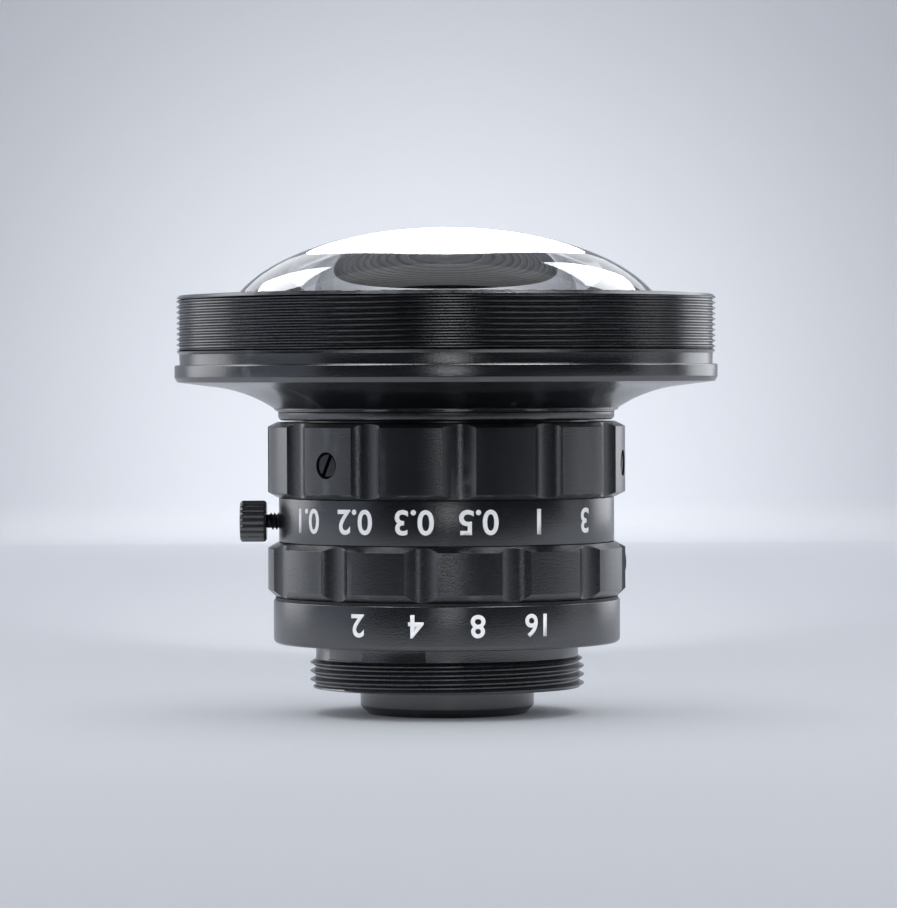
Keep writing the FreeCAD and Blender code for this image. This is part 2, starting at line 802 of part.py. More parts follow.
def make_iris_drive_screw():
    """Screw in the iris ring, whose long shank turns the iris cam."""
    screw = turned("iris_drive_screw", [
        (ZERO, D.drive_tip),
        (S.drive_shank, D.drive_tip),
        (S.drive_shank, D.drive_head_seat),
        (S.drive_head, D.drive_head_seat),
        (S.drive_head, D.drive_head_top - S.barrel_edge),
        (S.drive_head - S.barrel_edge, D.drive_head_top),
        (ZERO, D.drive_head_top),
    ])
    slot_floor = D.drive_head_top - S.set_screw_slot_depth
    box_cut(
        screw, "drive_screw_slot", S.drive_head * 2 + S.free_gap, S.set_screw_slot_width,
        S.set_screw_slot_depth, slot_floor,
    )
    stand_radially(screw, D.drive_level, SIZES["drive_angle"])


def set_screw_angles():
    count = int(SIZES["set_screw_count"])
    return [SIZES["set_screw_angle"] + FULL_TURN / count * i for i in range(count)]


def make_focus_grip_ring():
    """Fluted focus ring with threaded holes for its set screws."""
    bore = D.nut_radius + S.seat_gap
    ring = turned("focus_grip_ring", [
        (bore, D.focus_bottom),
        (D.focus_radius - S.focus_chamfer, D.focus_bottom),
        (D.focus_radius, D.focus_bottom + S.focus_slope),
        (D.focus_radius, D.focus_top - S.focus_slope),
        (D.focus_radius - S.focus_chamfer, D.focus_top),
        (bore, D.focus_top),
    ])
    centre = D.focus_radius - S.flute_depth + S.flute_cutter
    flutes(
        ring, "focus_flutes", centre, S.flute_cutter, D.focus_bottom, D.focus_top - D.focus_bottom,
        S.flute_count, SIZES["focus_flute_angle"],
    )
    for i, angle in enumerate(set_screw_angles(), start=1):
        radial_hole(
            ring, f"focus_screw_hole_{i}", S.set_screw_radius + S.seat_gap,
            D.focus_radius + S.free_gap, D.set_screw_level, angle,
        )


def make_focus_nut():
    """Nut that turns on the barrel's nose and drives the lens cell along its axis."""
    thread_bore = D.cell_thread_crest + S.run_gap
    skirt = D.nose_radius + S.run_gap
    groove = D.snap_outer + S.free_gap
    groove_bottom = D.snap_level - S.snap_thickness / 2 - S.run_gap
    groove_top = D.snap_level + S.snap_thickness / 2 + S.run_gap
    turned("focus_nut", [
        (skirt, D.nut_bottom),
        (D.nut_radius, D.nut_bottom),
        (D.nut_radius, D.nut_top),
        (thread_bore, D.nut_top),
        (thread_bore, D.nut_thread_bottom),
        (skirt, D.nut_thread_bottom),
        (skirt, groove_top),
        (groove, groove_top),
        (groove, groove_bottom),
        (skirt, groove_bottom),
    ])


def make_focus_set_screws():
    """Slotted grub screws that fix the focus ring to its nut."""
    screws = []
    for i, angle in enumerate(set_screw_angles(), start=1):
        name = f"focus_set_screw_{i}"
        screw = turned(name, [
            (ZERO, D.nut_radius + S.seat_gap),
            (S.set_screw_radius, D.nut_radius + S.seat_gap),
            (S.set_screw_radius, D.set_screw_top - S.barrel_edge),
            (S.set_screw_radius - S.barrel_edge, D.set_screw_top),
            (ZERO, D.set_screw_top),
        ])
        nodes.remove(screw)
        box_cut(
            screw, f"{name}_slot", S.set_screw_radius * 2 + S.free_gap, S.set_screw_slot_width,
            S.set_screw_slot_depth, D.set_screw_top - S.set_screw_slot_depth,
            SIZES["set_screw_slot_turn"],
        )
        stand_radially(screw, D.set_screw_level, angle)
        screws.append(screw)
    group = node(doc.addObject("Part::Compound", "focus_set_screws"), "focus_set_screws")
    group.Links = screws


def make_cell_barrel():
    """Sliding barrel that holds the optics: thread, visible collar and the bell's seat."""
    teeth = thread(
        D.cell_thread_crest, D.cell_thread_root, D.cell_thread_bottom,
        S.cell_thread_pitch, S.cell_thread_turns,
    )
    barrel = turned("cell_barrel", [
        (S.iris_bore, D.cell_bottom),
        (D.cell_radius, D.cell_bottom),
        (D.cell_radius, D.nut_thread_bottom),
        (D.cell_thread_root, D.nut_thread_bottom + S.free_gap),
        *teeth,
        (D.cell_thread_root, D.collar_bottom),
        (D.collar_radius, D.collar_bottom),
        (D.collar_radius, D.collar_top),
        (D.cell_nose_radius, D.collar_top),
        (D.cell_nose_radius, D.cell_nose_top),
        (D.cell_nose_bore, D.cell_nose_top),
        (D.cell_nose_bore, D.front_bore_top),
        (D.front_bore, D.front_bore_top),
        (D.front_bore, D.cell_shelf),
        (D.cell_shelf_radius, D.cell_shelf),
        (D.cell_shelf_radius, D.housing_top),
        (S.iris_bore, D.housing_top),
    ])
    half = S.drive_shank + S.free_gap
    start = SIZES["drive_angle"] - SIZES["slot_margin"]
    sweep = S.iris_range + S.slot_margin * 2
    bottom = D.drive_level - half - S.focus_travel
    height = half * 2 + S.focus_travel
    reach = D.cell_radius + S.free_gap
    sector_slot(barrel, "cell_iris_slot", reach, bottom, height, start, sweep)
    key_half = S.pin_radius + S.run_gap
    key_depth = D.cell_radius + S.free_gap - (D.pin_tip - S.free_gap)
    key_bottom = D.pin_level - key_half - S.focus_travel
    box_cut(
        barrel, "cell_keyway", key_depth, key_half * 2, key_half * 2 + S.focus_travel, key_bottom,
        SIZES["pin_angle"], D.pin_tip - S.free_gap + key_depth / 2,
    )


def make_front_bell():
    """Bell: bowl, flange, band and threaded rim outside, and the front glass's seats inside."""
    teeth = thread(
        S.rim_crest, D.rim_root, D.rim_thread_bottom, S.rim_pitch, S.rim_thread_turns,
    )
    last_foot = D.rim_thread_bottom + S.rim_pitch * S.rim_thread_turns
    flank = S.rim_thread_depth * THREAD_HALF_ANGLE
    turned("front_bell", [
        (D.cell_nose_radius + S.seat_gap, D.collar_top),
        (D.collar_radius, D.collar_top),
        (D.lip_lower_radius, D.lip_lower_height),
        (D.lip_radius, D.lip_height, S.bowl_curve, -1),
        (D.bowl_outer, D.bowl_outer_height),
        (S.flange_radius - S.flange_corner_radial, D.flange_bottom),
        (S.flange_radius, D.flange_bottom + S.flange_corner_axial),
        (S.flange_radius, D.flange_top - S.flange_edge),
        (S.flange_radius - S.flange_edge, D.flange_top),
        (S.band_bottom_radius, D.flange_top),
        (S.band_top_radius, D.rim_thread_bottom - S.band_margin),
        *teeth,
        (D.rim_root, last_foot),
        (S.rim_crest, last_foot + flank),
        (S.rim_crest, D.rim_top - S.rim_chamfer),
        (S.rim_crest - S.rim_chamfer, D.rim_top),
        (D.ring_bore, D.rim_top),
        (D.ring_bore, D.ring_seat),
        (D.seal_bore, D.ring_seat),
        (D.seal_bore, D.glass_seat),
        (D.bell_cavity, D.glass_seat),
        (D.bell_cavity, D.bell_floor_top),
        (D.bell_floor_hole, D.bell_floor_top),
        (D.bell_floor_hole, D.bell_floor_bottom),
        (D.cell_nose_radius + S.seat_gap, D.bell_floor_bottom),
    ])


def make_front_element():
    """Front glass: the top of an ellipsoid, hollowed by a sphere from below."""
    dome = doc.addObject("Part::Ellipsoid", "dome_outside")
    bind(
        dome,
        Radius1=S.dome_rise,
        Radius2=D.dome_radius,
        Radius3=D.dome_radius,
        Placement__Base__z=D.dome_centre,
    )
    blank = doc.addObject("Part::Cylinder", "dome_blank")
    bind(
        blank,
        Radius=D.dome_radius + S.free_gap,
        Height=S.dome_rise * 2,
        Placement__Base__z=D.glass_seat,
    )
    outside = doc.addObject("Part::Common", "dome_upper_part")
    outside.Base = dome
    outside.Tool = blank
    hollow = doc.addObject("Part::Sphere", "dome_hollow_ball")
    hollow_apex = D.dome_centre + S.dome_rise - S.dome_thickness
    bind(hollow, Radius=S.dome_hollow, Placement__Base__z=hollow_apex - S.dome_hollow)
    glass = node(doc.addObject("Part::Cut", "front_element"), "front_element")
    glass.Base = outside
    glass.Tool = hollow


def make_front_retaining_ring():
    """Ring screwed into the rim over the edge of the front glass."""
    outer = D.ring_bore - S.seat_gap
    ring = turned("front_retaining_ring", [
        (D.ring_inner_bottom, D.ring_seat),
        (outer, D.ring_seat),
        (outer, D.ring_top - S.barrel_edge),
        (outer - S.barrel_edge, D.ring_top),
        (D.ring_inner_top, D.ring_top),
        (D.ring_inner_bottom, D.ring_seat + S.ring_straight),
    ])
    spanner_notches(ring, "front_ring_notches", outer, D.ring_top, D.ring_top - S.notch_depth)


def make_front_seal():
    """O-ring round the edge of the front glass."""
    seal = node(doc.addObject("Part::Torus", "front_seal"), "front_seal")
    bind(
        seal,
        Radius1=D.seal_ring_radius,
        Radius2=S.seal_thickness,
        Placement__Base__z=D.glass_seat + S.seal_thickness + S.seat_gap,
    )


def make_front_baffle():
    """Ring under the front glass with a ribbed cone that traps stray light."""
    outer = D.bell_cavity - S.run_gap
    top = D.glass_seat - S.free_gap
    bore = S.second_radius + S.seat_gap
    cone_bottom = D.second_edge_top + S.baffle_lip
    count = int((top.value - cone_bottom.value) / SIZES["baffle_pitch"])
    slope = (D.baffle_mouth - D.baffle_throat) / (top - cone_bottom)
    ribs = []
    for i in range(count):
        height = top - S.baffle_pitch * i
        radius = D.baffle_mouth - slope * S.baffle_pitch * i
        ribs += [
            (radius, height),
            (radius - S.baffle_lean, height - S.baffle_pitch),
        ]
    turned("front_baffle", [
        (bore, D.bell_floor_top),
        (outer, D.bell_floor_top),
        (outer, top),
        *ribs,
        (D.baffle_throat, cone_bottom),
        (D.baffle_throat, D.second_edge_top),
        (bore, D.second_edge_top),
    ])


def make_element(label, edge, bottom, edge_top, apex, top_edge, hollow, hollow_apex):
    """A lens with a flat land round each face: domed above and hollow below."""
    turned(label, [
        cap_down(hollow, bottom, hollow_apex),
        (hollow, bottom),
        (edge, bottom),
        (edge, edge_top),
        cap_up(top_edge, edge_top, apex),
        (ZERO, apex),
    ])


def make_second_element():
    top_edge = D.baffle_throat - S.run_gap
    make_element(
        "second_element", S.second_radius, D.bell_floor_top, D.second_edge_top, D.second_apex,
        top_edge, D.second_hollow, D.second_hollow_apex,
    )


def make_front_group():
    """Two elements, the spacer between them and the ring that holds them in the cell."""
    edge = D.front_bore - S.run_gap
    land = edge - S.front_edge_land
    make_element(
        "third_element", edge, D.third_bottom, D.third_edge_top, D.third_apex, land,
        land, D.third_hollow_apex,
    )
    make_element(
        "fourth_element", edge, D.cell_shelf, D.fourth_edge_top, D.fourth_apex, land,
        edge - S.fourth_land, D.fourth_hollow_apex,
    )
    turned("front_spacer", [
        (land, D.fourth_edge_top),
        (edge, D.fourth_edge_top),
        (edge, D.third_bottom),
        (land, D.third_bottom),
    ])
    ring_top = D.third_edge_top + S.cell_ring_thickness
    ring = turned("cell_retaining_ring", [
        (land, D.third_edge_top),
        (D.front_bore - S.seat_gap, D.third_edge_top),
        (D.front_bore - S.seat_gap, ring_top),
        (land, ring_top),
    ])
    spanner_notches(ring, "cell_ring_notches", D.front_bore, ring_top, ring_top - S.notch_depth)


def make_iris_housing():
    """Cup that holds the iris, with a hole for each blade's pivot and a slot for the drive."""
    outer = S.iris_bore - S.seat_gap
    inner = outer - S.housing_wall
    housing = turned("iris_housing", [
        (inner, D.housing_bottom),
        (outer, D.housing_bottom),
        (outer, D.housing_top),
        (S.housing_aperture, D.housing_top),
        (S.housing_aperture, D.housing_plate),
        (inner, D.housing_plate),
    ])
    half = S.drive_shank + S.free_gap
    start = SIZES["drive_angle"] - SIZES["slot_margin"]
    sweep = S.iris_range + S.slot_margin * 2
    bottom = D.drive_level - half - S.focus_travel
    height = half * 2 + S.focus_travel
    sector_slot(
        housing, "housing_iris_slot", outer + S.free_gap, bottom, height, start, sweep,
    )
    flutes(
        housing, "housing_pivot_holes", S.blade_pivot, S.blade_pin + S.run_gap, D.housing_plate,
        S.blade_pivot_length + S.free_gap, S.blade_count, 0,
    )


def make_iris_cover():
    """Plate that keeps the iris cam in its housing."""
    outer = S.iris_bore - S.seat_gap - S.housing_wall
    turned("iris_cover", [
        (S.cover_aperture, D.cover_bottom),
        (outer, D.cover_bottom),
        (outer, D.cover_top),
        (S.cover_aperture, D.cover_top),
    ])


def blade_pin_place(swing):
    """Where a blade's drive pin is after this swing about its pivot on +X."""
    pivot = FreeCAD.Vector(SIZES["blade_pivot"], 0, 0)
    pin = about_z(SIZES["blade_pin_angle"]).multVec(pivot)
    return pivot + about_z(swing).multVec(pin - pivot)


def cam_slot_cutter(bottom, depth):
    """A curved slot along the pin's path as the cam sees it."""
    path = []
    for share in (0, 0.5, 1):
        place = blade_pin_place(SIZES["blade_swing"] * share)
        path.append(about_z(-SIZES["iris_range"] * share).multVec(place))
    centre = Part.Arc(*path).toShape().Curve.Center
    half = SIZES["blade_pin"] + SIZES["blade_pin_gap"]

    def beside(place, offset):
        away = (place - centre).normalize()
        return place + away * offset + FreeCAD.Vector(0, 0, bottom)

    def beyond(place, other):
        along = (place - centre).cross(FreeCAD.Vector(0, 0, 1)).normalize()
        if along.dot(other - place) > 0:
            along = along * -1
        return place + along * half + FreeCAD.Vector(0, 0, bottom)

    start, middle, end = path
    edges = [
        Part.Arc(beside(start, half), beside(middle, half), beside(end, half)).toShape(),
        Part.Arc(beside(end, half), beyond(end, middle), beside(end, -half)).toShape(),
        Part.Arc(beside(end, -half), beside(middle, -half), beside(start, -half)).toShape(),
        Part.Arc(beside(start, -half), beyond(start, middle), beside(start, half)).toShape(),
    ]
    return Part.Face(Part.Wire(edges)).extrude(FreeCAD.Vector(0, 0, depth))


def make_iris_cam():
    """Ring that turns under the blades, with a curved slot for each and a notch for the drive."""
    blank = turned("iris_cam_blank", [
        (S.cover_aperture, D.cam_bottom),
        (D.cam_radius, D.cam_bottom),
        (D.cam_radius, D.cam_top),
        (S.cover_aperture, D.cam_top),
    ])
    nodes.remove(blank)
    notch_length = S.cam_notch_depth * 2
    notch_width = (S.drive_shank + S.run_gap) * 2
    box_cut(
        blank, "cam_drive_notch", notch_length, notch_width, S.cam_thickness, D.cam_bottom,
        SIZES["drive_angle"], D.cam_radius,
    )
    slots = doc.addObject("Part::Feature", "cam_slots")
    one = cam_slot_cutter(D.cam_bottom.value, SIZES["cam_thickness"])
    count = int(SIZES["blade_count"])
    turns = [one.rotated(FreeCAD.Vector(), FreeCAD.Vector(0, 0, 1), FULL_TURN / count * i)
             for i in range(count)]
    slots.Shape = Part.makeCompound(turns)
    cam = node(doc.addObject("Part::Cut", "iris_cam"), "iris_cam")
    cam.Base = blank
    cam.Tool = slots


def plain_cylinder(name, radius, bottom, height, sweep=None, turn=0, out=None):
    """A cylinder or a sector of one, moved out along X where asked."""
    item = doc.addObject("Part::Cylinder", name)
    item.Placement = FreeCAD.Placement(FreeCAD.Vector(0, 0, 0), about_z(turn))
    bind(item, Radius=radius, Height=height, Placement__Base__z=bottom)
    if sweep:
        bind(item, Angle=sweep)
    if out:
        bind(item, Placement__Base__x=out[0], Placement__Base__y=out[1])
    return item


def make_iris_blades():
    """Thin crescent blades, one above another, each with a pivot pin and a drive pin."""
    count = int(SIZES["blade_count"])
    first = D.cam_top + S.run_gap
    start = SIZES["blade_start"]
    pin_angle = SIZES["blade_pin_angle"]
    pin_x = S.blade_pivot * Dim(math.cos(math.radians(pin_angle)), f"cos({pin_angle})")
    pin_y = S.blade_pivot * Dim(math.sin(math.radians(pin_angle)), f"sin({pin_angle})")
    for i in range(count):
        name = f"iris_blade_{i + 1}"
        level = first + S.blade_step * i
        crescent = plain_cylinder(
            f"{name}_crescent", S.blade_outer, level, S.blade_thickness, S.blade_sweep, start,
        )
        ear = plain_cylinder(
            f"{name}_ear", S.blade_ear, level, S.blade_thickness, S.blade_ear_sweep, start,
        )
        plate = doc.addObject("Part::Fuse", f"{name}_plate")
        plate.Base = crescent
        plate.Tool = ear
        bore = plain_cylinder(f"{name}_bore", S.blade_inner, level, S.blade_thickness)
        cut = doc.addObject("Part::Cut", f"{name}_cut")
        cut.Base = plate
        cut.Tool = bore
        pivot_top = D.housing_plate + S.blade_pivot_length
        pivot = plain_cylinder(
            f"{name}_pivot", S.blade_pin, level, pivot_top - level, out=(S.blade_pivot, ZERO),
        )
        drive_bottom = D.cam_bottom + S.run_gap
        drive = plain_cylinder(
            f"{name}_drive", S.blade_pin, drive_bottom, level - drive_bottom + S.blade_thickness,
            out=(pin_x, pin_y),
        )
        blade = node(doc.addObject("Part::MultiFuse", name), name)
        blade.Shapes = [cut, pivot, drive]
        blade.Placement = FreeCAD.Placement(FreeCAD.Vector(0, 0, 0), about_z(FULL_TURN / count * i))


def make_rear_cell():
    """Stub that holds the rear group and screws into the lower end of the lens cell."""
    collar_top = D.cell_bottom
    collar_bottom = D.cell_bottom - S.rear_collar_thickness
    thread_radius = S.iris_bore - S.seat_gap
    turned("rear_cell", [
        (D.rear_lip, ZERO),
        (S.stub_radius - S.stub_chamfer, ZERO),
        (S.stub_radius, S.stub_chamfer),
        (S.stub_radius, collar_bottom),
        (D.rear_collar_radius, collar_bottom),
        (D.rear_collar_radius, collar_top),
        (thread_radius, collar_top),
        (thread_radius, D.housing_bottom),
        (D.rear_bore, D.housing_bottom),
        (D.rear_bore, S.rear_lip_height),
        (D.rear_lip, S.rear_lip_height),
    ])


def make_rear_group():
    """Rear element, spacer, cemented doublet and the ring that holds them in the rear cell."""
    edge = D.rear_bore - S.run_gap
    land = edge - S.rear_land
    low_land = D.rear_lip - S.seat_gap
    turned("rear_element", [
        (ZERO, D.rear_apex_low, sphere_radius(low_land, S.rear_belly), 1),
        (low_land, S.rear_lip_height),
        (edge, S.rear_lip_height),
        (edge, D.rear_edge_top),
        cap_up(land, D.rear_edge_top, D.rear_apex_high),
        (ZERO, D.rear_apex_high),
    ])
    turned("rear_spacer", [
        (land, D.rear_edge_top),
        (edge, D.rear_edge_top),
        (edge, D.flint_bottom),
        (land, D.flint_bottom),
    ])
    cement = sphere_radius(edge, S.cement_depth)
    turned("rear_doublet_flint", [
        cap_down(land, D.flint_bottom, D.flint_hollow_apex),
        (land, D.flint_bottom),
        (edge, D.flint_bottom),
        (edge, D.cement_edge, cement, -1),
        (ZERO, D.cement_apex),
    ])
    turned("rear_doublet_crown", [
        (ZERO, D.cement_apex, cement, 1),
        (edge, D.cement_edge),
        (edge, D.crown_edge_top),
        cap_up(land, D.crown_edge_top, D.crown_apex),
        (ZERO, D.crown_apex),
    ])
    ring_top = D.crown_edge_top + S.rear_ring_thickness
    ring = turned("rear_retaining_ring", [
        (land, D.crown_edge_top),
        (D.rear_bore - S.seat_gap, D.crown_edge_top),
        (D.rear_bore - S.seat_gap, ring_top),
        (land, ring_top),
    ])
    spanner_notches(ring, "rear_ring_notches", D.rear_bore, ring_top, ring_top - S.notch_depth)


def make_lock_screw():
    """Knurled thumb screw through the side of the main barrel."""
    edge = S.lock_head - S.lock_head_edge
    screw = turned("lock_screw", [
        (ZERO, D.lock_tip),
        (S.lock_shank, D.lock_tip),
        (S.lock_shank, D.lock_head_bottom),
        (edge, D.lock_head_bottom),
        (S.lock_head, D.lock_head_bottom + S.lock_head_edge, S.lock_head_crown, 1),
        (S.lock_head, D.lock_head_top - S.lock_head_edge),
        (edge, D.lock_head_top),
        (ZERO, D.lock_head_top),
    ])
    centre = S.lock_head - S.lock_knurl_depth + S.lock_knurl_cutter
    flutes(
        screw, "lock_knurl", centre, S.lock_knurl_cutter, D.lock_head_bottom,
        S.lock_head_length, S.lock_knurl_count, 0,
    )
    stand_radially(screw, D.lock_level, SIZES["lock_angle"])


def make_lock_pad():
    """Soft pad between the lock screw's tip and the lens cell."""
    pad = turned("lock_pad", [
        (ZERO, D.lock_pad_face),
        (S.lock_pad_radius, D.lock_pad_face),
        (S.lock_pad_radius, D.lock_tip),
        (ZERO, D.lock_tip),
    ])
    stand_radially(pad, D.lock_level, SIZES["lock_angle"])


def write_nodes():
    """Stop if anything failed, then write each piece to its own file."""
    for item in doc.Objects:
        if "Invalid" in item.State or "Error" in item.State:
            raise RuntimeError(f"{item.Label} failed: {item.State}")
    for item in nodes:
        shape = item.Shape
        if shape.isNull() or not shape.isValid() or not shape.Solids:
            raise RuntimeError(f"{item.Label} has no sound solid")
    for item in nodes:
        item.Shape.exportStep(f"parts/{item.Label}.step")
        print(f"{item.Label}: {len(item.Shape.Solids)} solids, {item.Shape.Volume:.2f} mm3")


make_rear_mount()
make_main_barrel()
make_focus_snap_ring()
make_guide_pin()
make_iris_washer()
make_iris_grip_ring()
make_iris_drive_screw()
make_focus_grip_ring()
make_focus_nut()
make_focus_set_screws()
make_cell_barrel()
make_front_bell()
make_front_element()
make_front_retaining_ring()
make_front_seal()
make_front_baffle()
make_second_element()
make_front_group()
make_iris_housing()
make_iris_cover()
make_iris_cam()
make_iris_blades()
make_rear_cell()
make_rear_group()
make_lock_screw()
make_lock_pad()
doc.recompute()
write_nodes()
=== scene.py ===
import json
import math

import bmesh
import bpy
from mathutils import Matrix, Vector


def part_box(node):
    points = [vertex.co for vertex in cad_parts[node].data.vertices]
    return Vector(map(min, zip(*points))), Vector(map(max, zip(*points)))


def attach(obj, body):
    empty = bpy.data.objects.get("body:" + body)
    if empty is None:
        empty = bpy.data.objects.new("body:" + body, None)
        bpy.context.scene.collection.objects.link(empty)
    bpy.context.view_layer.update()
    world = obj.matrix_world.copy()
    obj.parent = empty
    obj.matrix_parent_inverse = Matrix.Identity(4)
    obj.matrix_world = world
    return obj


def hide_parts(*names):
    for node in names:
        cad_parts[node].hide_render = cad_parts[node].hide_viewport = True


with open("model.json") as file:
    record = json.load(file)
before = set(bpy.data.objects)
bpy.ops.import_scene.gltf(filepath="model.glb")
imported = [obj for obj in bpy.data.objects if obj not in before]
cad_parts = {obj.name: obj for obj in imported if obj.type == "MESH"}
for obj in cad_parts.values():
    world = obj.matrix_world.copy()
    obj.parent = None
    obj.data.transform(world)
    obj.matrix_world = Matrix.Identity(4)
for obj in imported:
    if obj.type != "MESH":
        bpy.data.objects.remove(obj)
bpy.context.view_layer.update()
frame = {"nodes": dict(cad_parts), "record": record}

# Prime lens on its rear stub. Lengths in this script are millimetres until a mesh is made.
# Angles are about +Z from +X, in degrees, and the camera looks along +Y.

MM = 0.001
COLUMNS = 360
FINE_COLUMNS = 540
TURN = 360.0
CAMERA_SIDE = -90.0
BAFFLE_PITCH = 0.26
BAFFLE_UNEVEN = 0.08
ROD_COLUMNS = 48
SHARP_ANGLE = 30.0
BEVEL_ANGLE = 28.0
BEVEL_SEGMENTS = 2
FIT = 0.02

# These three are metres
SAME_POINT = 1e-8
NO_LENGTH = 1e-9
SAME_HEIGHT = 1e-6


def span(node):
    """(lowest corner, highest corner) of a CAD node, in millimetres."""
    low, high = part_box(node)
    return low / MM, high / MM


def top_of(node):
    return span(node)[1].z


def bottom_of(node):
    return span(node)[0].z


def radius_of(node):
    return span(node)[1].x


def polar(radius, angle, height=0.0):
    turn = math.radians(angle)
    return Vector((radius * math.cos(turn), radius * math.sin(turn), height))


def even_angles(count):
    return [TURN * i / count for i in range(count)]


def smooth(mesh):
    mesh.polygons.foreach_set("use_smooth", [True] * len(mesh.polygons))


def sharpen(piece, angle=SHARP_ANGLE):
    """Keep the edges steeper than this angle sharp."""
    piece.data.set_sharp_from_angle(angle=math.radians(angle))


def linked_object(name, data):
    item = bpy.data.objects.new(name, data)
    bpy.context.scene.collection.objects.link(item)
    return item


def object_from(name, vertices, faces):
    """A smooth mesh object from vertices in millimetres, with doubled points merged."""
    mesh = bpy.data.meshes.new(name)
    mesh.from_pydata([Vector(v) * MM for v in vertices], [], faces)
    work = bmesh.new()
    work.from_mesh(mesh)
    bmesh.ops.remove_doubles(work, verts=work.verts, dist=SAME_POINT)
    bmesh.ops.dissolve_degenerate(work, edges=work.edges, dist=NO_LENGTH)
    bmesh.ops.recalc_face_normals(work, faces=work.faces)
    work.to_mesh(mesh)
    work.free()
    smooth(mesh)
    return linked_object(name, mesh)


def skin_columns(name, angles, profile_at, gaps):
    """Close this many gaps between neighbouring columns, each the outline at its angle."""
    vertices = []
    for angle in angles:
        vertices += [polar(r, angle, z) for r, z in profile_at(angle)]
    count = len(angles)
    size = len(vertices) // count
    faces = []
    for i in range(gaps):
        here = i * size
        there = (i + 1) % count * size
        for k in range(size):
            after = (k + 1) % size
            faces.append((here + k, there + k, there + after, here + after))
    return object_from(name, vertices, faces)


def sweep_columns(name, angles, profile_at):
    """A closed solid round Z whose (radius, height) outline may change with the angle."""
    return skin_columns(name, angles, profile_at, len(angles))


def lathe(name, profile, columns=COLUMNS):
    return sweep_columns(name, even_angles(columns), lambda angle: profile)


def short_swing(first, last):
    """The short way from one angle to another, in radians."""
    return (last - first + math.pi) % (2 * math.pi) - math.pi


def arc_points(start, end, radius, side, steps):
    """Points after start and before end on the short arc between them; side 1 bows left."""
    a = Vector(start)
    b = Vector(end)
    chord = b - a
    middle = (a + b) / 2
    reach = math.sqrt(max(radius ** 2 - (chord.length / 2) ** 2, 0.0))
    across = Vector((-chord.y, chord.x)).normalized()
    centre = middle + across * reach * side
    first = math.atan2(a.y - centre.y, a.x - centre.x)
    last = math.atan2(b.y - centre.y, b.x - centre.x)
    swing = short_swing(first, last)
    return [
        (
            centre.x + radius * math.cos(first + swing * i / steps),
            centre.y + radius * math.sin(first + swing * i / steps),
        )
        for i in range(1, steps)
    ]


def round_corners(profile, radii, steps=3):
    """Round the corners named by their index with small arcs."""
    rounded = []
    count = len(profile)
    for i, point in enumerate(profile):
        radius = radii.get(i)
        if not radius:
            rounded.append(point)
            continue
        here = Vector(point)
        before = (Vector(profile[i - 1]) - here).normalized()
        after = (Vector(profile[(i + 1) % count]) - here).normalized()
        half = before.angle(after) / 2
        back = radius / math.tan(half)
        start = here + before * back
        end = here + after * back
        centre = here + (before + after).normalized() * radius / math.sin(half)
        first = math.atan2(start.y - centre.y, start.x - centre.x)
        last = math.atan2(end.y - centre.y, end.x - centre.x)
        swing = short_swing(first, last)
        for k in range(steps + 1):
            turn = first + swing * k / steps
            rounded.append((centre.x + radius * math.cos(turn), centre.y + radius * math.sin(turn)))
    return rounded


def bevel(piece, width, angle=BEVEL_ANGLE):
    """Small rounded edges, which catch the light as real ones do."""
    modifier = piece.modifiers.new("edges", "BEVEL")
    modifier.width = width * MM
    modifier.segments = BEVEL_SEGMENTS
    modifier.limit_method = "ANGLE"
    modifier.angle_limit = math.radians(angle)
    modifier.harden_normals = True
    modifier.use_clamp_overlap = True


def cut_away(piece, tool):
    """Cut the tool's solid out of the piece and drop the tool."""
    modifier = piece.modifiers.new("cut", "BOOLEAN")
    modifier.operation = "DIFFERENCE"
    modifier.solver = "EXACT"
    modifier.object = tool
    bpy.context.view_layer.update()
    depsgraph = bpy.context.evaluated_depsgraph_get()
    mesh = bpy.data.meshes.new_from_object(piece.evaluated_get(depsgraph))
    piece.modifiers.remove(modifier)
    old = piece.data
    piece.data = mesh
    mesh.name = piece.name
    bpy.data.meshes.remove(old)
    bpy.data.objects.remove(tool)
    smooth(mesh)


def place_radially(piece, height, angle):
    """Point a piece's own Z outwards at this height and angle, with its X downwards."""
    outwards = Matrix.Rotation(math.radians(90), 4, "Y")
    about = Matrix.Rotation(math.radians(angle), 4, "Z")
    lift = Matrix.Translation((0, 0, height * MM))
    piece.data.transform(lift @ about @ outwards)


def box_solid(name, size, centre):
    vertices = []
    for x in (-0.5, 0.5):
        for y in (-0.5, 0.5):
            for z in (-0.5, 0.5):
                vertices.append((centre[0] + x * size[0], centre[1] + y * size[1],
                                 centre[2] + z * size[2]))
    faces = [(0, 1, 3, 2), (4, 6, 7, 5), (0, 4, 5, 1), (2, 3, 7, 6), (0, 2, 6, 4), (1, 5, 7, 3)]
    return object_from(name, vertices, faces)


def rod(name, radius, start, end):
    return lathe(name, [(0, start), (radius, start), (radius, end), (0, end)], ROD_COLUMNS)


# Materials. Their noise scales are per metre, and their bump distances are metres.

ANODISED_IOR = 2.2
WORN_EDGE = (0.16, 0.16, 0.165)
WORN_SHARE = 0.35
ROUGH_SPREAD = 0.08


def new_material(name):
    material = bpy.data.materials.new(name)
    material.use_nodes = True
    tree = material.node_tree
    shader = tree.nodes["Principled BSDF"]
    return material, tree, shader


def noise(tree, vector, scale, detail=2.0, rough=0.5):
    texture = tree.nodes.new("ShaderNodeTexNoise")
    texture.inputs["Scale"].default_value = scale
    texture.inputs["Detail"].default_value = detail
    texture.inputs["Roughness"].default_value = rough
    tree.links.new(vector, texture.inputs["Vector"])
    return texture.outputs["Fac"]


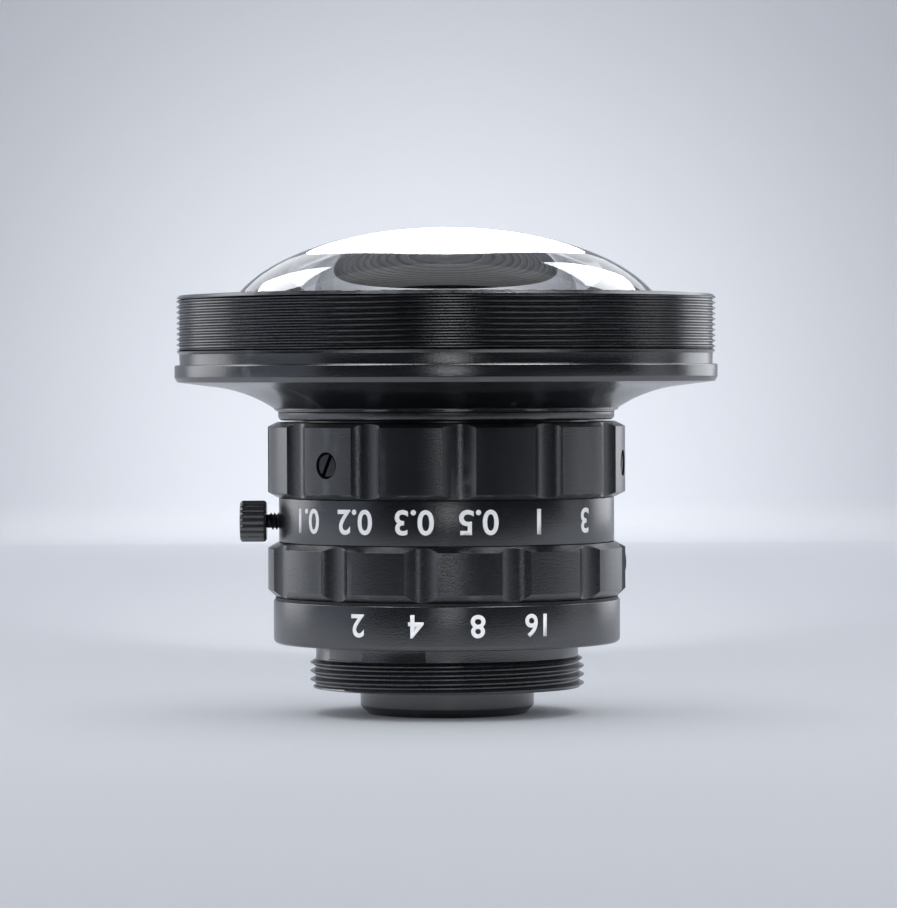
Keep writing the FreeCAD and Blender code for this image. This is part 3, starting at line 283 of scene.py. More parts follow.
def ramp(tree, value, low, high, start=0.3, end=0.7):
    node = tree.nodes.new("ShaderNodeValToRGB")
    node.color_ramp.elements[0].position = start
    node.color_ramp.elements[0].color = (*low, 1)
    node.color_ramp.elements[1].position = end
    node.color_ramp.elements[1].color = (*high, 1)
    tree.links.new(value, node.inputs["Fac"])
    return node.outputs["Color"]


def map_value(tree, value, low, high, start=0.3, end=0.7):
    node = tree.nodes.new("ShaderNodeMapRange")
    node.inputs["From Min"].default_value = start
    node.inputs["From Max"].default_value = end
    node.inputs["To Min"].default_value = low
    node.inputs["To Max"].default_value = high
    tree.links.new(value, node.inputs["Value"])
    return node.outputs["Result"]


def math_node(tree, operation, first, second=None):
    node = tree.nodes.new("ShaderNodeMath")
    node.operation = operation
    for socket, value in zip(node.inputs, (first, second)):
        if value is None:
            continue
        if isinstance(value, (int, float)):
            socket.default_value = value
        else:
            tree.links.new(value, socket)
    return node.outputs["Value"]


def bump(tree, height, distance, strength=1.0, normal=None):
    node = tree.nodes.new("ShaderNodeBump")
    node.inputs["Distance"].default_value = distance
    node.inputs["Strength"].default_value = strength
    tree.links.new(height, node.inputs["Height"])
    if normal is not None:
        tree.links.new(normal, node.inputs["Normal"])
    return node.outputs["Normal"]


def wire(tree, shader, colour, rough, normal):
    tree.links.new(colour, shader.inputs["Base Color"])
    tree.links.new(rough, shader.inputs["Roughness"])
    tree.links.new(normal, shader.inputs["Normal"])


def object_vector(tree):
    return tree.nodes.new("ShaderNodeTexCoord").outputs["Object"]


def turned_vector(tree, vector):
    """Coordinates that only change with radius and height, as a lathe tool's marks do."""
    split = tree.nodes.new("ShaderNodeSeparateXYZ")
    tree.links.new(vector, split.inputs["Vector"])
    x2 = math_node(tree, "POWER", split.outputs["X"], 2.0)
    y2 = math_node(tree, "POWER", split.outputs["Y"], 2.0)
    radius = math_node(tree, "SQRT", math_node(tree, "ADD", x2, y2))
    join = tree.nodes.new("ShaderNodeCombineXYZ")
    tree.links.new(radius, join.inputs["X"])
    tree.links.new(split.outputs["Z"], join.inputs["Z"])
    return join.outputs["Vector"]


def worn(tree, colour):
    """Lighten the sharpest edges a little, unevenly."""
    shape = tree.nodes.new("ShaderNodeNewGeometry")
    vector = object_vector(tree)
    patches = map_value(tree, noise(tree, vector, 900.0, 3.0), 0.0, WORN_SHARE)
    sharp = map_value(tree, shape.outputs["Pointiness"], 0.0, 1.0, 0.53, 0.6)
    share = math_node(tree, "MULTIPLY", patches, sharp)
    mix = tree.nodes.new("ShaderNodeMix")
    mix.data_type = "RGBA"
    tree.links.new(share, mix.inputs["Factor"])
    tree.links.new(colour, mix.inputs["A"])
    mix.inputs["B"].default_value = (*WORN_EDGE, 1)
    return mix.outputs["Result"]


def anodised_black(name, low, high, rough_low, rough_high, grain, turning):
    """Bead-blasted, dyed aluminium: near black, with a fine grain and faint lathe marks."""
    material, tree, shader = new_material(name)
    vector = object_vector(tree)
    rings = turned_vector(tree, vector)
    colour = worn(tree, ramp(tree, noise(tree, vector, 260.0, 4.0), low, high))
    rough = map_value(tree, noise(tree, vector, 3600.0, 2.0), rough_low, rough_high)
    coarse = bump(tree, noise(tree, vector, 7500.0, 2.0), 0.00002, grain)
    fine = bump(tree, noise(tree, vector, 14000.0, 1.0), 0.000004, grain, coarse)
    marks = bump(tree, noise(tree, rings, 9000.0, 2.0), 0.0000035, turning, fine)
    wire(tree, shader, colour, rough, marks)
    shader.inputs["IOR"].default_value = ANODISED_IOR
    return material


def metal(name, low, high, rough_low, rough_high):
    """Turned bare metal with fine concentric marks."""
    material, tree, shader = new_material(name)
    vector = object_vector(tree)
    rings = turned_vector(tree, vector)
    colour = ramp(tree, noise(tree, vector, 500.0, 3.0), low, high)
    rough = map_value(tree, noise(tree, rings, 7000.0, 3.0), rough_low, rough_high)
    marks = bump(tree, noise(tree, rings, 12000.0, 2.0), 0.000003)
    wire(tree, shader, colour, rough, marks)
    shader.inputs["Metallic"].default_value = 1.0
    return material


def soft_black(name, low, high, rough, scale, depth):
    """Matt black rubber, plastic or paint."""
    material, tree, shader = new_material(name)
    vector = object_vector(tree)
    colour = ramp(tree, noise(tree, vector, scale, 4.0), low, high)
    patches = noise(tree, vector, scale * 3, 2.0)
    uneven = map_value(tree, patches, rough - ROUGH_SPREAD, rough + ROUGH_SPREAD)
    wire(tree, shader, colour, uneven, bump(tree, noise(tree, vector, scale * 8, 2.0), depth))
    return material


def ribs_painted_shade_and_light(name, painted_groove_shade, crest):
    """Dull black ribs, with painted shade in their grooves and painted light on their crests, set
    by height within each rib.
    """
    material, tree, shader = new_material(name)
    vector = object_vector(tree)
    split = tree.nodes.new("ShaderNodeSeparateXYZ")
    tree.links.new(vector, split.inputs["Vector"])
    top = max(vertex.co.z for vertex in frame["nodes"]["front_baffle"].data.vertices)
    below = math_node(tree, "SUBTRACT", top, split.outputs["Z"])
    share = math_node(tree, "FRACT", math_node(tree, "DIVIDE", below, BAFFLE_PITCH * MM))
    patches = noise(tree, vector, 900.0, 3.0)
    uneven = map_value(tree, patches, -BAFFLE_UNEVEN, BAFFLE_UNEVEN)
    # Painted shade in the grooves and painted light on the crests: the colour runs from dark to
    # light downwards through each rib's pitch.
    colour = ramp(tree, math_node(tree, "ADD", share, uneven), painted_groove_shade, crest, 0.15, 0.6)
    rough = map_value(tree, noise(tree, vector, 3600.0, 2.0), 0.4, 0.5)
    wire(tree, shader, colour, rough, bump(tree, noise(tree, vector, 9000.0, 2.0), 0.000006))
    return material


def white_paint(name):
    """Slightly uneven white ink."""
    material, tree, shader = new_material(name)
    vector = object_vector(tree)
    colour = ramp(tree, noise(tree, vector, 2500.0, 4.0), (0.82, 0.83, 0.84), (0.93, 0.94, 0.95))
    rough = map_value(tree, noise(tree, vector, 5000.0, 2.0), 0.45, 0.65)
    wire(tree, shader, colour, rough, bump(tree, noise(tree, vector, 8000.0, 2.0), 0.000004))
    return material


def coated_glass(name, ior, tint, mirror):
    """Polished glass with the faintest haze, whose coating leaves it this much of its mirroring."""
    material, tree, shader = new_material(name)
    vector = object_vector(tree)
    haze = noise(tree, vector, 700.0, 6.0, 0.7)
    tree.links.new(map_value(tree, haze, 0.0, 0.012, 0.45, 0.75), shader.inputs["Roughness"])
    shader.inputs["Base Color"].default_value = (*tint, 1)
    shader.inputs["Transmission Weight"].default_value = 1.0
    shader.inputs["IOR"].default_value = ior
    shader.inputs["Specular IOR Level"].default_value = mirror
    return material


def grey(value):
    return (value, value, value)


BLACK = anodised_black(
    "black_anodised", (0.005, 0.0058, 0.0075), (0.008, 0.009, 0.012), 0.2, 0.26,
    grain=0.7, turning=0.5,
)
BLACK_GLOSS = anodised_black(
    "black_anodised_smooth", (0.004, 0.0045, 0.0055), (0.006, 0.0068, 0.0085), 0.16, 0.21,
    grain=0.5, turning=0.5,
)
# The front baffle's ribs carry painted shade in their grooves and painted light on their crests.
RIBS_PAINTED_SHADE_AND_LIGHT = ribs_painted_shade_and_light("ribs_painted_shade_and_light", (0.03, 0.03, 0.031), (0.26, 0.26, 0.27))
EDGE_PAINT = soft_black("glass_edge_paint", grey(0.01), grey(0.018), 0.5, 900.0, 0.000004)
MATT_BLACK = soft_black("matt_black", grey(0.012), grey(0.022), 0.5, 600.0, 0.00001)
RUBBER = soft_black("seal_rubber", grey(0.01), grey(0.02), 0.6, 900.0, 0.00001)
WASHER = soft_black("black_washer", grey(0.012), grey(0.02), 0.55, 900.0, 0.000005)
BLADE = soft_black("blade_black", (0.02, 0.02, 0.022), (0.035, 0.035, 0.04), 0.4, 800.0, 0.000003)
STEEL_BLACK = metal("black_steel", (0.05, 0.05, 0.053), (0.09, 0.09, 0.096), 0.3, 0.42)
STEEL = metal("bright_steel", (0.5, 0.5, 0.52), (0.62, 0.62, 0.64), 0.2, 0.35)
BRASS = metal("brass", (0.62, 0.45, 0.18), (0.74, 0.56, 0.26), 0.25, 0.4)
WHITE = white_paint("white_ink")
FRONT_GLASS = coated_glass("front_glass", 1.62, (1.0, 1.0, 1.0), 0.5)
INNER_GLASS = coated_glass("inner_glass", 1.58, (0.98, 1.0, 0.99), 0.12)

BY_SLOT = {
    "black_anodised": BLACK,
    "matt_black": MATT_BLACK,
    "brass": BRASS,
    "black_steel": STEEL_BLACK,
    "bright_steel": STEEL,
    "black_washer": WASHER,
    "seal_rubber": RUBBER,
    "front_glass": FRONT_GLASS,
    "inner_glass": INNER_GLASS,
    "blade_black": BLADE,
}
BY_NODE = {"front_baffle": RIBS_PAINTED_SHADE_AND_LIGHT}


def dress(piece, node, body, material):
    """Stand a finished piece in for its CAD node."""
    piece.data.materials.clear()
    piece.data.materials.append(material)
    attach(piece, body)
    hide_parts(node)
    return piece


# Threads

THREAD_TAN = math.tan(math.radians(30))
CREST_SHARE = 0.125


def helix_profile(angle, root, crest, low, high, pitch, bottom_limit, top_limit):
    """One column of a right-hand thread, held inside its end chamfers."""
    flank = (crest - root) * THREAD_TAN / pitch
    # Share of the pitch and radius, along one thread from its lower root to its upper one
    shape = [
        (0.0, root),
        (flank * 0.5, (root + crest) / 2),
        (flank, crest),
        (flank + CREST_SHARE, crest),
        (flank * 1.5 + CREST_SHARE, (root + crest) / 2),
        (flank * 2 + CREST_SHARE, root),
    ]
    turns = int((high - low) / pitch) + 1
    rise = pitch * angle / TURN
    points = []
    for i in range(-1, turns + 1):
        for share, radius in shape:
            height = low + (i + share) * pitch + rise
            height = min(max(height, low), high)
            limit = min(bottom_limit(height), top_limit(height))
            points.append((min(radius, limit), height))
    return points


def threaded(name, before, after, thread, columns):
    """A lathe piece with a helical thread between two parts of its outline."""
    angles = [TURN * i / columns for i in range(columns + 1)]
    return skin_columns(name, angles, lambda angle: before + thread(angle) + after, columns)


# Each piece's sizes: what the frame's boxes give is read from them, and the rest is the part's own

MOUNT_CREST = 12.7
MOUNT_ROOT = 12.2
MOUNT_RELIEF = 12.17
MOUNT_PITCH = 0.79375
MOUNT_BOTTOM = bottom_of("rear_mount")
MOUNT_THREAD_TOP = 5.33
MOUNT_LEAD = 0.2
MOUNT_LEAD_SLOPE = 1.6
MOUNT_RUNOUT_SLOPE = 1.7
SHOULDER = 6.58
UNDERCUT_RADIUS = 12.8
UNDERCUT_DEPTH = 0.15
STUB_RADIUS = 8.05
STUB_GAP = 0.1
MOUNT_LIP_TOP = 3.2
MOUNT_BORE = 11.2
MOUNT_FLOOR = 7.4
SPIGOT_BORE = 14.0
ENGRAVED_RADIUS = radius_of("rear_mount")
ENGRAVED_TOP = top_of("rear_mount")


def make_rear_mount():
    def thread(angle):
        return helix_profile(
            angle, MOUNT_ROOT, MOUNT_CREST, MOUNT_BOTTOM, MOUNT_THREAD_TOP, MOUNT_PITCH,
            lambda z: MOUNT_ROOT + MOUNT_LEAD + (z - MOUNT_BOTTOM) * MOUNT_LEAD_SLOPE,
            lambda z: MOUNT_RELIEF + (MOUNT_THREAD_TOP - z) * MOUNT_RUNOUT_SLOPE,
        )

    upper = round_corners(
        [
            (MOUNT_RELIEF, MOUNT_THREAD_TOP),
            (MOUNT_RELIEF, SHOULDER + UNDERCUT_DEPTH),
            (UNDERCUT_RADIUS, SHOULDER + UNDERCUT_DEPTH),
            (UNDERCUT_RADIUS, SHOULDER),
            (ENGRAVED_RADIUS, SHOULDER),
            (ENGRAVED_RADIUS, ENGRAVED_TOP),
            (SPIGOT_BORE, ENGRAVED_TOP),
            (SPIGOT_BORE, MOUNT_FLOOR),
        ],
        {1: 0.06, 4: 0.45, 5: 0.1, 6: 0.05}, 5,
    )
    after = upper + [
        (MOUNT_BORE, MOUNT_FLOOR),
        (MOUNT_BORE, MOUNT_LIP_TOP),
        (STUB_RADIUS + STUB_GAP, MOUNT_LIP_TOP),
        (STUB_RADIUS + STUB_GAP, MOUNT_BOTTOM),
        (MOUNT_ROOT + MOUNT_LEAD / 2, MOUNT_BOTTOM),
    ]
    piece = threaded("rear_mount_turned", [], after, thread, COLUMNS)
    sharpen(piece)
    return dress(piece, "rear_mount", "barrel", BLACK)


BARREL_RADIUS = radius_of("main_barrel")
BARREL_BAND_BOTTOM = 15.95
BARREL_BAND_TOP = 20.05
IRIS_SEAT = 14.9
BARREL_BORE = 12.45
BARREL_SPIGOT = 13.98
NOSE_RADIUS = 14.3
LOCK_HEIGHT = (bottom_of("lock_screw") + top_of("lock_screw")) / 2
LOCK_ANGLE = 180.0
LOCK_SHANK = 0.8
LOCK_HOLE = LOCK_SHANK + 0.03
TOOL_REACH = 2
EDGE = 0.06


def make_main_barrel():
    profile = round_corners(
        [
            (BARREL_BORE, bottom_of("main_barrel")),
            (BARREL_SPIGOT, bottom_of("main_barrel")),
            (BARREL_SPIGOT, ENGRAVED_TOP),
            (IRIS_SEAT, ENGRAVED_TOP),
            (IRIS_SEAT, BARREL_BAND_BOTTOM),
            (BARREL_RADIUS, BARREL_BAND_BOTTOM),
            (BARREL_RADIUS, BARREL_BAND_TOP),
            (NOSE_RADIUS, BARREL_BAND_TOP),
            (NOSE_RADIUS, top_of("main_barrel")),
            (BARREL_BORE, top_of("main_barrel")),
        ],
        {5: 0.08, 6: 0.08}, 3,
    )
    piece = lathe("main_barrel_turned", profile)
    hole = rod(
        "lock_hole_tool", LOCK_HOLE, BARREL_BORE - TOOL_REACH, BARREL_RADIUS + TOOL_REACH,
    )
    place_radially(hole, LOCK_HEIGHT, LOCK_ANGLE)
    cut_away(piece, hole)
    sharpen(piece)
    return dress(piece, "main_barrel", "barrel", BLACK)


FLUTES = 12
FLUTE_CUTTER = 2.16
FLUTE_DEPTH = 0.7
FLUTE_STEPS = 18
LAND_STEPS = 10
ON_LAND = 1e-6
RING_TOOL_REACH = 1


def flute_edge(outer):
    """Half the angle that a flute takes up at the outer radius."""
    centre = outer - FLUTE_DEPTH + FLUTE_CUTTER
    cosine = (outer ** 2 + centre ** 2 - FLUTE_CUTTER ** 2) / (2 * outer * centre)
    return math.degrees(math.acos(cosine))


def fluted_ring(name, outer, bore, bottom, top, low, high, first_flute):
    """A ring with chamfered ends and upright round flutes that run out into the chamfers.

    low and high are the (radial, axial) sizes of the two chamfers.
    """
    centre = outer - FLUTE_DEPTH + FLUTE_CUTTER
    edge = flute_edge(outer)
    step = TURN / FLUTES
    angles = []
    for i in range(FLUTES):
        middle = first_flute + i * step
        angles += [middle - edge + 2 * edge * k / FLUTE_STEPS for k in range(FLUTE_STEPS)]
        land = step - 2 * edge
        angles += [middle + edge + land * k / LAND_STEPS for k in range(LAND_STEPS)]

    def profile_at(angle):
        off = (angle - first_flute + step / 2) % step - step / 2
        radius = outer
        if abs(off) < edge - ON_LAND:
            turn = math.radians(off)
            inside = FLUTE_CUTTER ** 2 - (centre * math.sin(turn)) ** 2
            radius = centre * math.cos(turn) - math.sqrt(inside)
        low_radius = outer - low[0]
        high_radius = outer - high[0]
        low_share = min(max((radius - low_radius) / low[0], 0.0), 1.0)
        high_share = min(max((radius - high_radius) / high[0], 0.0), 1.0)
        return [
            (bore, bottom),
            (min(low_radius, radius), bottom),
            (radius, bottom + low[1] * low_share),
            (radius, top - high[1] * high_share),
            (min(high_radius, radius), top),
            (bore, top),
        ]

    return sweep_columns(name, angles, profile_at)


IRIS_CHAMFER_LOW = (0.72, 0.68)
IRIS_CHAMFER_HIGH = (0.9, 0.5)
FOCUS_CHAMFER = (0.88, 0.45)
IRIS_BORE = 14.95
FOCUS_BORE = 15.07
IRIS_FLUTE = 22.0
FOCUS_FLUTE = 4.0
IRIS_RADIUS = 16.58
FOCUS_RADIUS = 16.59
DRIVE_ANGLE = 7.0
DRIVE_HEIGHT = (bottom_of("iris_drive_screw") + top_of("iris_drive_screw")) / 2
DRIVE_HEAD = (top_of("iris_drive_screw") - bottom_of("iris_drive_screw")) / 2
DRIVE_SHANK = 0.6
DRIVE_TIP = 8.7
DRIVE_SEAT = 15.6
DRIVE_TOP = 16.75
DRIVE_CHAMFER = 0.1
DRIVE_GAP = 0.04
DRIVE_EDGE = 0.03
SET_SCREW_RADIUS = (top_of("focus_set_screws") - bottom_of("focus_set_screws")) / 2
SET_SCREW_HEIGHT = (top_of("focus_set_screws") + bottom_of("focus_set_screws")) / 2
SET_SCREW_ANGLES = [-131.0 + 120.0 * i for i in range(3)]
SET_SCREW_TOP = 16.42
SET_SCREW_TURN = -27.0
SET_SCREW_CHAMFER = 0.16
SET_SCREW_GAP = 0.06
SET_SCREW_EDGE = 0.04
SCREW_COLUMNS = 64
SLOT_LENGTH = 6.0
SLOT_WIDTH = 0.38
SLOT_DEPTH = 0.5


def make_iris_ring():
    ring = fluted_ring(
        "iris_ring_fluted", IRIS_RADIUS, IRIS_BORE, bottom_of("iris_grip_ring"),
        top_of("iris_grip_ring"), IRIS_CHAMFER_LOW, IRIS_CHAMFER_HIGH, IRIS_FLUTE,
    )
    shank = DRIVE_SHANK + FIT
    head = DRIVE_HEAD + DRIVE_GAP
    inner = IRIS_BORE - RING_TOOL_REACH
    outer = IRIS_RADIUS + RING_TOOL_REACH
    steps = [
        (0, inner), (shank, inner), (shank, DRIVE_SEAT), (head, DRIVE_SEAT), (head, outer),
        (0, outer),
    ]
    hole = lathe("iris_hole_tool", steps, ROD_COLUMNS)
    place_radially(hole, DRIVE_HEIGHT, DRIVE_ANGLE)
    cut_away(ring, hole)
    bevel(ring, EDGE)
    return dress(ring, "iris_grip_ring", "iris_ring", BLACK)


def make_focus_ring():
    ring = fluted_ring(
        "focus_ring_fluted", FOCUS_RADIUS, FOCUS_BORE, bottom_of("focus_grip_ring"),
        top_of("focus_grip_ring"), FOCUS_CHAMFER, FOCUS_CHAMFER, FOCUS_FLUTE,
    )
    radius = SET_SCREW_RADIUS + SET_SCREW_GAP
    inner = FOCUS_BORE - RING_TOOL_REACH
    outer = FOCUS_RADIUS + RING_TOOL_REACH
    for i, angle in enumerate(SET_SCREW_ANGLES):
        hole = rod(f"set_hole_tool_{i}", radius, inner, outer)
        place_radially(hole, SET_SCREW_HEIGHT, angle)
        cut_away(ring, hole)
    bevel(ring, EDGE)
    return dress(ring, "focus_grip_ring", "focus_ring", BLACK)


def slotted_screw(name, profile, slot_top, turn):
    screw = lathe(name, profile, SCREW_COLUMNS)
    slot = box_solid(f"{name}_slot", (SLOT_LENGTH, SLOT_WIDTH, SLOT_DEPTH * 2), (0, 0, slot_top))
    slot.data.transform(Matrix.Rotation(math.radians(turn), 4, "Z"))
    cut_away(screw, slot)
    return screw


def make_set_screws():
    profile = [
        (0, FOCUS_BORE + FIT),
        (SET_SCREW_RADIUS, FOCUS_BORE + FIT),
        (SET_SCREW_RADIUS, SET_SCREW_TOP - SET_SCREW_CHAMFER),
        (SET_SCREW_RADIUS - SET_SCREW_CHAMFER, SET_SCREW_TOP),
        (0, SET_SCREW_TOP),
    ]
    screws = []
    for i, angle in enumerate(SET_SCREW_ANGLES):
        screw = slotted_screw(f"set_screw_{i + 1}", profile, SET_SCREW_TOP, SET_SCREW_TURN)
        place_radially(screw, SET_SCREW_HEIGHT, angle)
        screws.append(screw)
    first = screws[0]
    work = bmesh.new()
    for screw in screws:
        work.from_mesh(screw.data)
    work.to_mesh(first.data)
    work.free()
    for screw in screws[1:]:
        bpy.data.objects.remove(screw)
    first.name = "focus_set_screws_slotted"
    smooth(first.data)
    bevel(first, SET_SCREW_EDGE)
    return dress(first, "focus_set_screws", "focus_ring", STEEL_BLACK)


def make_drive_screw():
    screw = slotted_screw(
        "iris_drive_screw_slotted",
        [
            (0, DRIVE_TIP), (DRIVE_SHANK, DRIVE_TIP), (DRIVE_SHANK, DRIVE_SEAT),
            (DRIVE_HEAD, DRIVE_SEAT), (DRIVE_HEAD, DRIVE_TOP - DRIVE_CHAMFER),
            (DRIVE_HEAD - DRIVE_CHAMFER, DRIVE_TOP), (0, DRIVE_TOP),
        ],
        DRIVE_TOP, 0.0,
    )
    place_radially(screw, DRIVE_HEIGHT, DRIVE_ANGLE)
    bevel(screw, DRIVE_EDGE)
    return dress(screw, "iris_drive_screw", "iris_ring", STEEL_BLACK)


LOCK_HEAD = 1.935
LOCK_HEAD_BOTTOM = 16.7
LOCK_HEAD_TOP = -span("lock_screw")[0].x
LOCK_TIP = 12.85
LOCK_EDGE = 0.25
LOCK_LAND = 0.08
LOCK_ROUND = (0.04, 0.55)
LOCK_FACE_SHARE = 0.6
LOCK_HEAD_EDGE = 0.05
LOCK_HEAD_ANGLE = 40.0
KNURLS = 18
KNURL_DEPTH = 0.18
KNURL_STEPS = 8
KNURL_POWER = 0.6
LOCK_PITCH = 0.35
LOCK_ROOT = 0.62
LOCK_THREAD_TOP = LOCK_HEAD_BOTTOM - 0.25
LOCK_THREAD_SLOPE = 1.2
LOCK_SHANK_TOP = LOCK_HEAD_BOTTOM + 0.2


def make_lock_screw():
    """Knurled head on a threaded shank, made along Z and then turned to -X."""
    step = TURN / KNURLS

    def knurl(angle):
        share = (angle % step) / step
        return KNURL_DEPTH * (1 - abs(math.sin(math.pi * share)) ** KNURL_POWER)

    def profile_at(angle):
        side = LOCK_HEAD - knurl(angle)
        edge = min(LOCK_HEAD - LOCK_EDGE, side)
        shoulder = side - LOCK_ROUND[0]
        return [
            (0, LOCK_HEAD_BOTTOM),
            (edge * LOCK_FACE_SHARE, LOCK_HEAD_BOTTOM),
            (edge, LOCK_HEAD_BOTTOM),
            (shoulder, LOCK_HEAD_BOTTOM + LOCK_EDGE * LOCK_ROUND[1]),
            (side, LOCK_HEAD_BOTTOM + LOCK_EDGE),
            (side, LOCK_HEAD_BOTTOM + LOCK_EDGE + LOCK_LAND),
            (side, LOCK_HEAD_TOP - LOCK_EDGE - LOCK_LAND),
            (side, LOCK_HEAD_TOP - LOCK_EDGE),
            (shoulder, LOCK_HEAD_TOP - LOCK_EDGE * LOCK_ROUND[1]),
            (edge, LOCK_HEAD_TOP),
            (edge * LOCK_FACE_SHARE, LOCK_HEAD_TOP),
            (0, LOCK_HEAD_TOP),
        ]

    head = sweep_columns("lock_screw_knurled", even_angles(KNURLS * KNURL_STEPS), profile_at)

    def thread(angle):
        return helix_profile(
            angle, LOCK_ROOT, LOCK_SHANK, LOCK_TIP, LOCK_THREAD_TOP, LOCK_PITCH,
            lambda z: LOCK_ROOT + (z - LOCK_TIP) * LOCK_THREAD_SLOPE,
            lambda z: LOCK_ROOT + (LOCK_THREAD_TOP - z) * LOCK_THREAD_SLOPE,
        )

    after = [
        (LOCK_ROOT, LOCK_THREAD_TOP), (LOCK_ROOT, LOCK_SHANK_TOP), (0, LOCK_SHANK_TOP),
        (0, LOCK_TIP),
    ]
    shank = threaded("lock_screw_shank", [], after, thread, ROD_COLUMNS)
    for piece in (head, shank):
        place_radially(piece, LOCK_HEIGHT, LOCK_ANGLE)
    bevel(head, LOCK_HEAD_EDGE, LOCK_HEAD_ANGLE)
    dress(head, "lock_screw", "lock_screw", BLACK)
    shank.data.materials.append(STEEL_BLACK)
    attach(shank, "lock_screw")


CELL_COLLAR_BOTTOM = 27.2
CELL_COLLAR_TOP = 27.97
CELL_COLLAR = radius_of("cell_barrel")
COLLAR_INSET = (0.3, 0.1)
COLLAR_RISE = (0.12, 0.34)
CELL_COLUMNS = 180
CELL_RADIUS = 12.4
CELL_STEP = (22.9, 23.0)
CELL_THREAD_ROOT = 13.3
CELL_THREAD_CREST = 13.6
CELL_THREAD_LOW = 23.2
CELL_THREAD_HIGH = 26.7
CELL_PITCH = 0.5
CELL_NOSE = 14.4
CELL_NOSE_BORE = 12.4
CELL_NOSE_FLOOR = 28.1
FRONT_BORE = 9.6
IRIS_WALL = (16.4, 17.0)
IRIS_WALL_HOLE = 8.2
REAR_BORE = 10.6


def make_cell_barrel():
    bottom = bottom_of("cell_barrel")
    top = top_of("cell_barrel")

    def thread(angle):
        return helix_profile(
            angle, CELL_THREAD_ROOT, CELL_THREAD_CREST, CELL_THREAD_LOW, CELL_THREAD_HIGH,
            CELL_PITCH, lambda z: CELL_THREAD_ROOT + (z - CELL_THREAD_LOW),
            lambda z: CELL_THREAD_ROOT + (CELL_THREAD_HIGH - z),
        )

    before = [
        (REAR_BORE, bottom), (CELL_RADIUS, bottom), (CELL_RADIUS, CELL_STEP[0]),
        (CELL_THREAD_ROOT, CELL_STEP[1]),
    ]
    after = [
        (CELL_THREAD_ROOT, CELL_COLLAR_BOTTOM),
        (CELL_COLLAR - COLLAR_INSET[0], CELL_COLLAR_BOTTOM),
        (CELL_COLLAR - COLLAR_INSET[1], CELL_COLLAR_BOTTOM + COLLAR_RISE[0]),
        (CELL_COLLAR, CELL_COLLAR_BOTTOM + COLLAR_RISE[1]),
        (CELL_COLLAR, CELL_COLLAR_TOP - EDGE), (CELL_COLLAR - EDGE, CELL_COLLAR_TOP),
        (CELL_NOSE, CELL_COLLAR_TOP), (CELL_NOSE, top), (CELL_NOSE_BORE, top),
        (CELL_NOSE_BORE, CELL_NOSE_FLOOR), (FRONT_BORE, CELL_NOSE_FLOOR),
        (FRONT_BORE, IRIS_WALL[1]), (IRIS_WALL_HOLE, IRIS_WALL[1]),
        (IRIS_WALL_HOLE, IRIS_WALL[0]), (REAR_BORE, IRIS_WALL[0]),
    ]
    piece = threaded("cell_barrel_turned", before, after, thread, CELL_COLUMNS)
    sharpen(piece)
    return dress(piece, "cell_barrel", "lens_cell", BLACK)


FLANGE_RADIUS = radius_of("front_bell")
FLANGE_BOTTOM = 30.73
FLANGE_TOP = 32.33
FLANGE_CORNER = (0.25, 0.45)
BAND_TOP_RADIUS = 24.72
BAND_BOTTOM_RADIUS = 24.7
RIM_THREAD_BOTTOM = 33.75
LEAD_IN_BOTTOM = 33.3
LEAD_IN_TOP = 33.58
RIM_TOP = top_of("front_bell")
RIM_CREST = 24.98
RIM_ROOT = 24.69
RIM_PITCH = 0.5
RIM_THREAD_TOP = 38.5
RIM_CHAMFER = 0.26
RIM_THREAD_GAP = 0.01
RING_BORE = 22.55
RING_MOUTH = 0.1
RING_SEAT = 37.3
SEAL_BORE = 21.6
GLASS_SEAT = bottom_of("front_element")
BELL_CAVITY = 18.6
BELL_FLOOR_TOP = 31.4
BELL_FLOOR_BOTTOM = 30.35
BELL_FLOOR_HOLE = 9.6
BOWL_OUTER = (21.35, 30.28)
BOWL_CURVE = 12.5
BOWL_STEPS = 24
LIP = (15.98, 28.3)
LIP_EDGE = 0.09
NECK_RISE = (0.08, 0.13)
LIP_DROP = (0.19, 0.07)
BELL_SHARP_ANGLE = 32.0


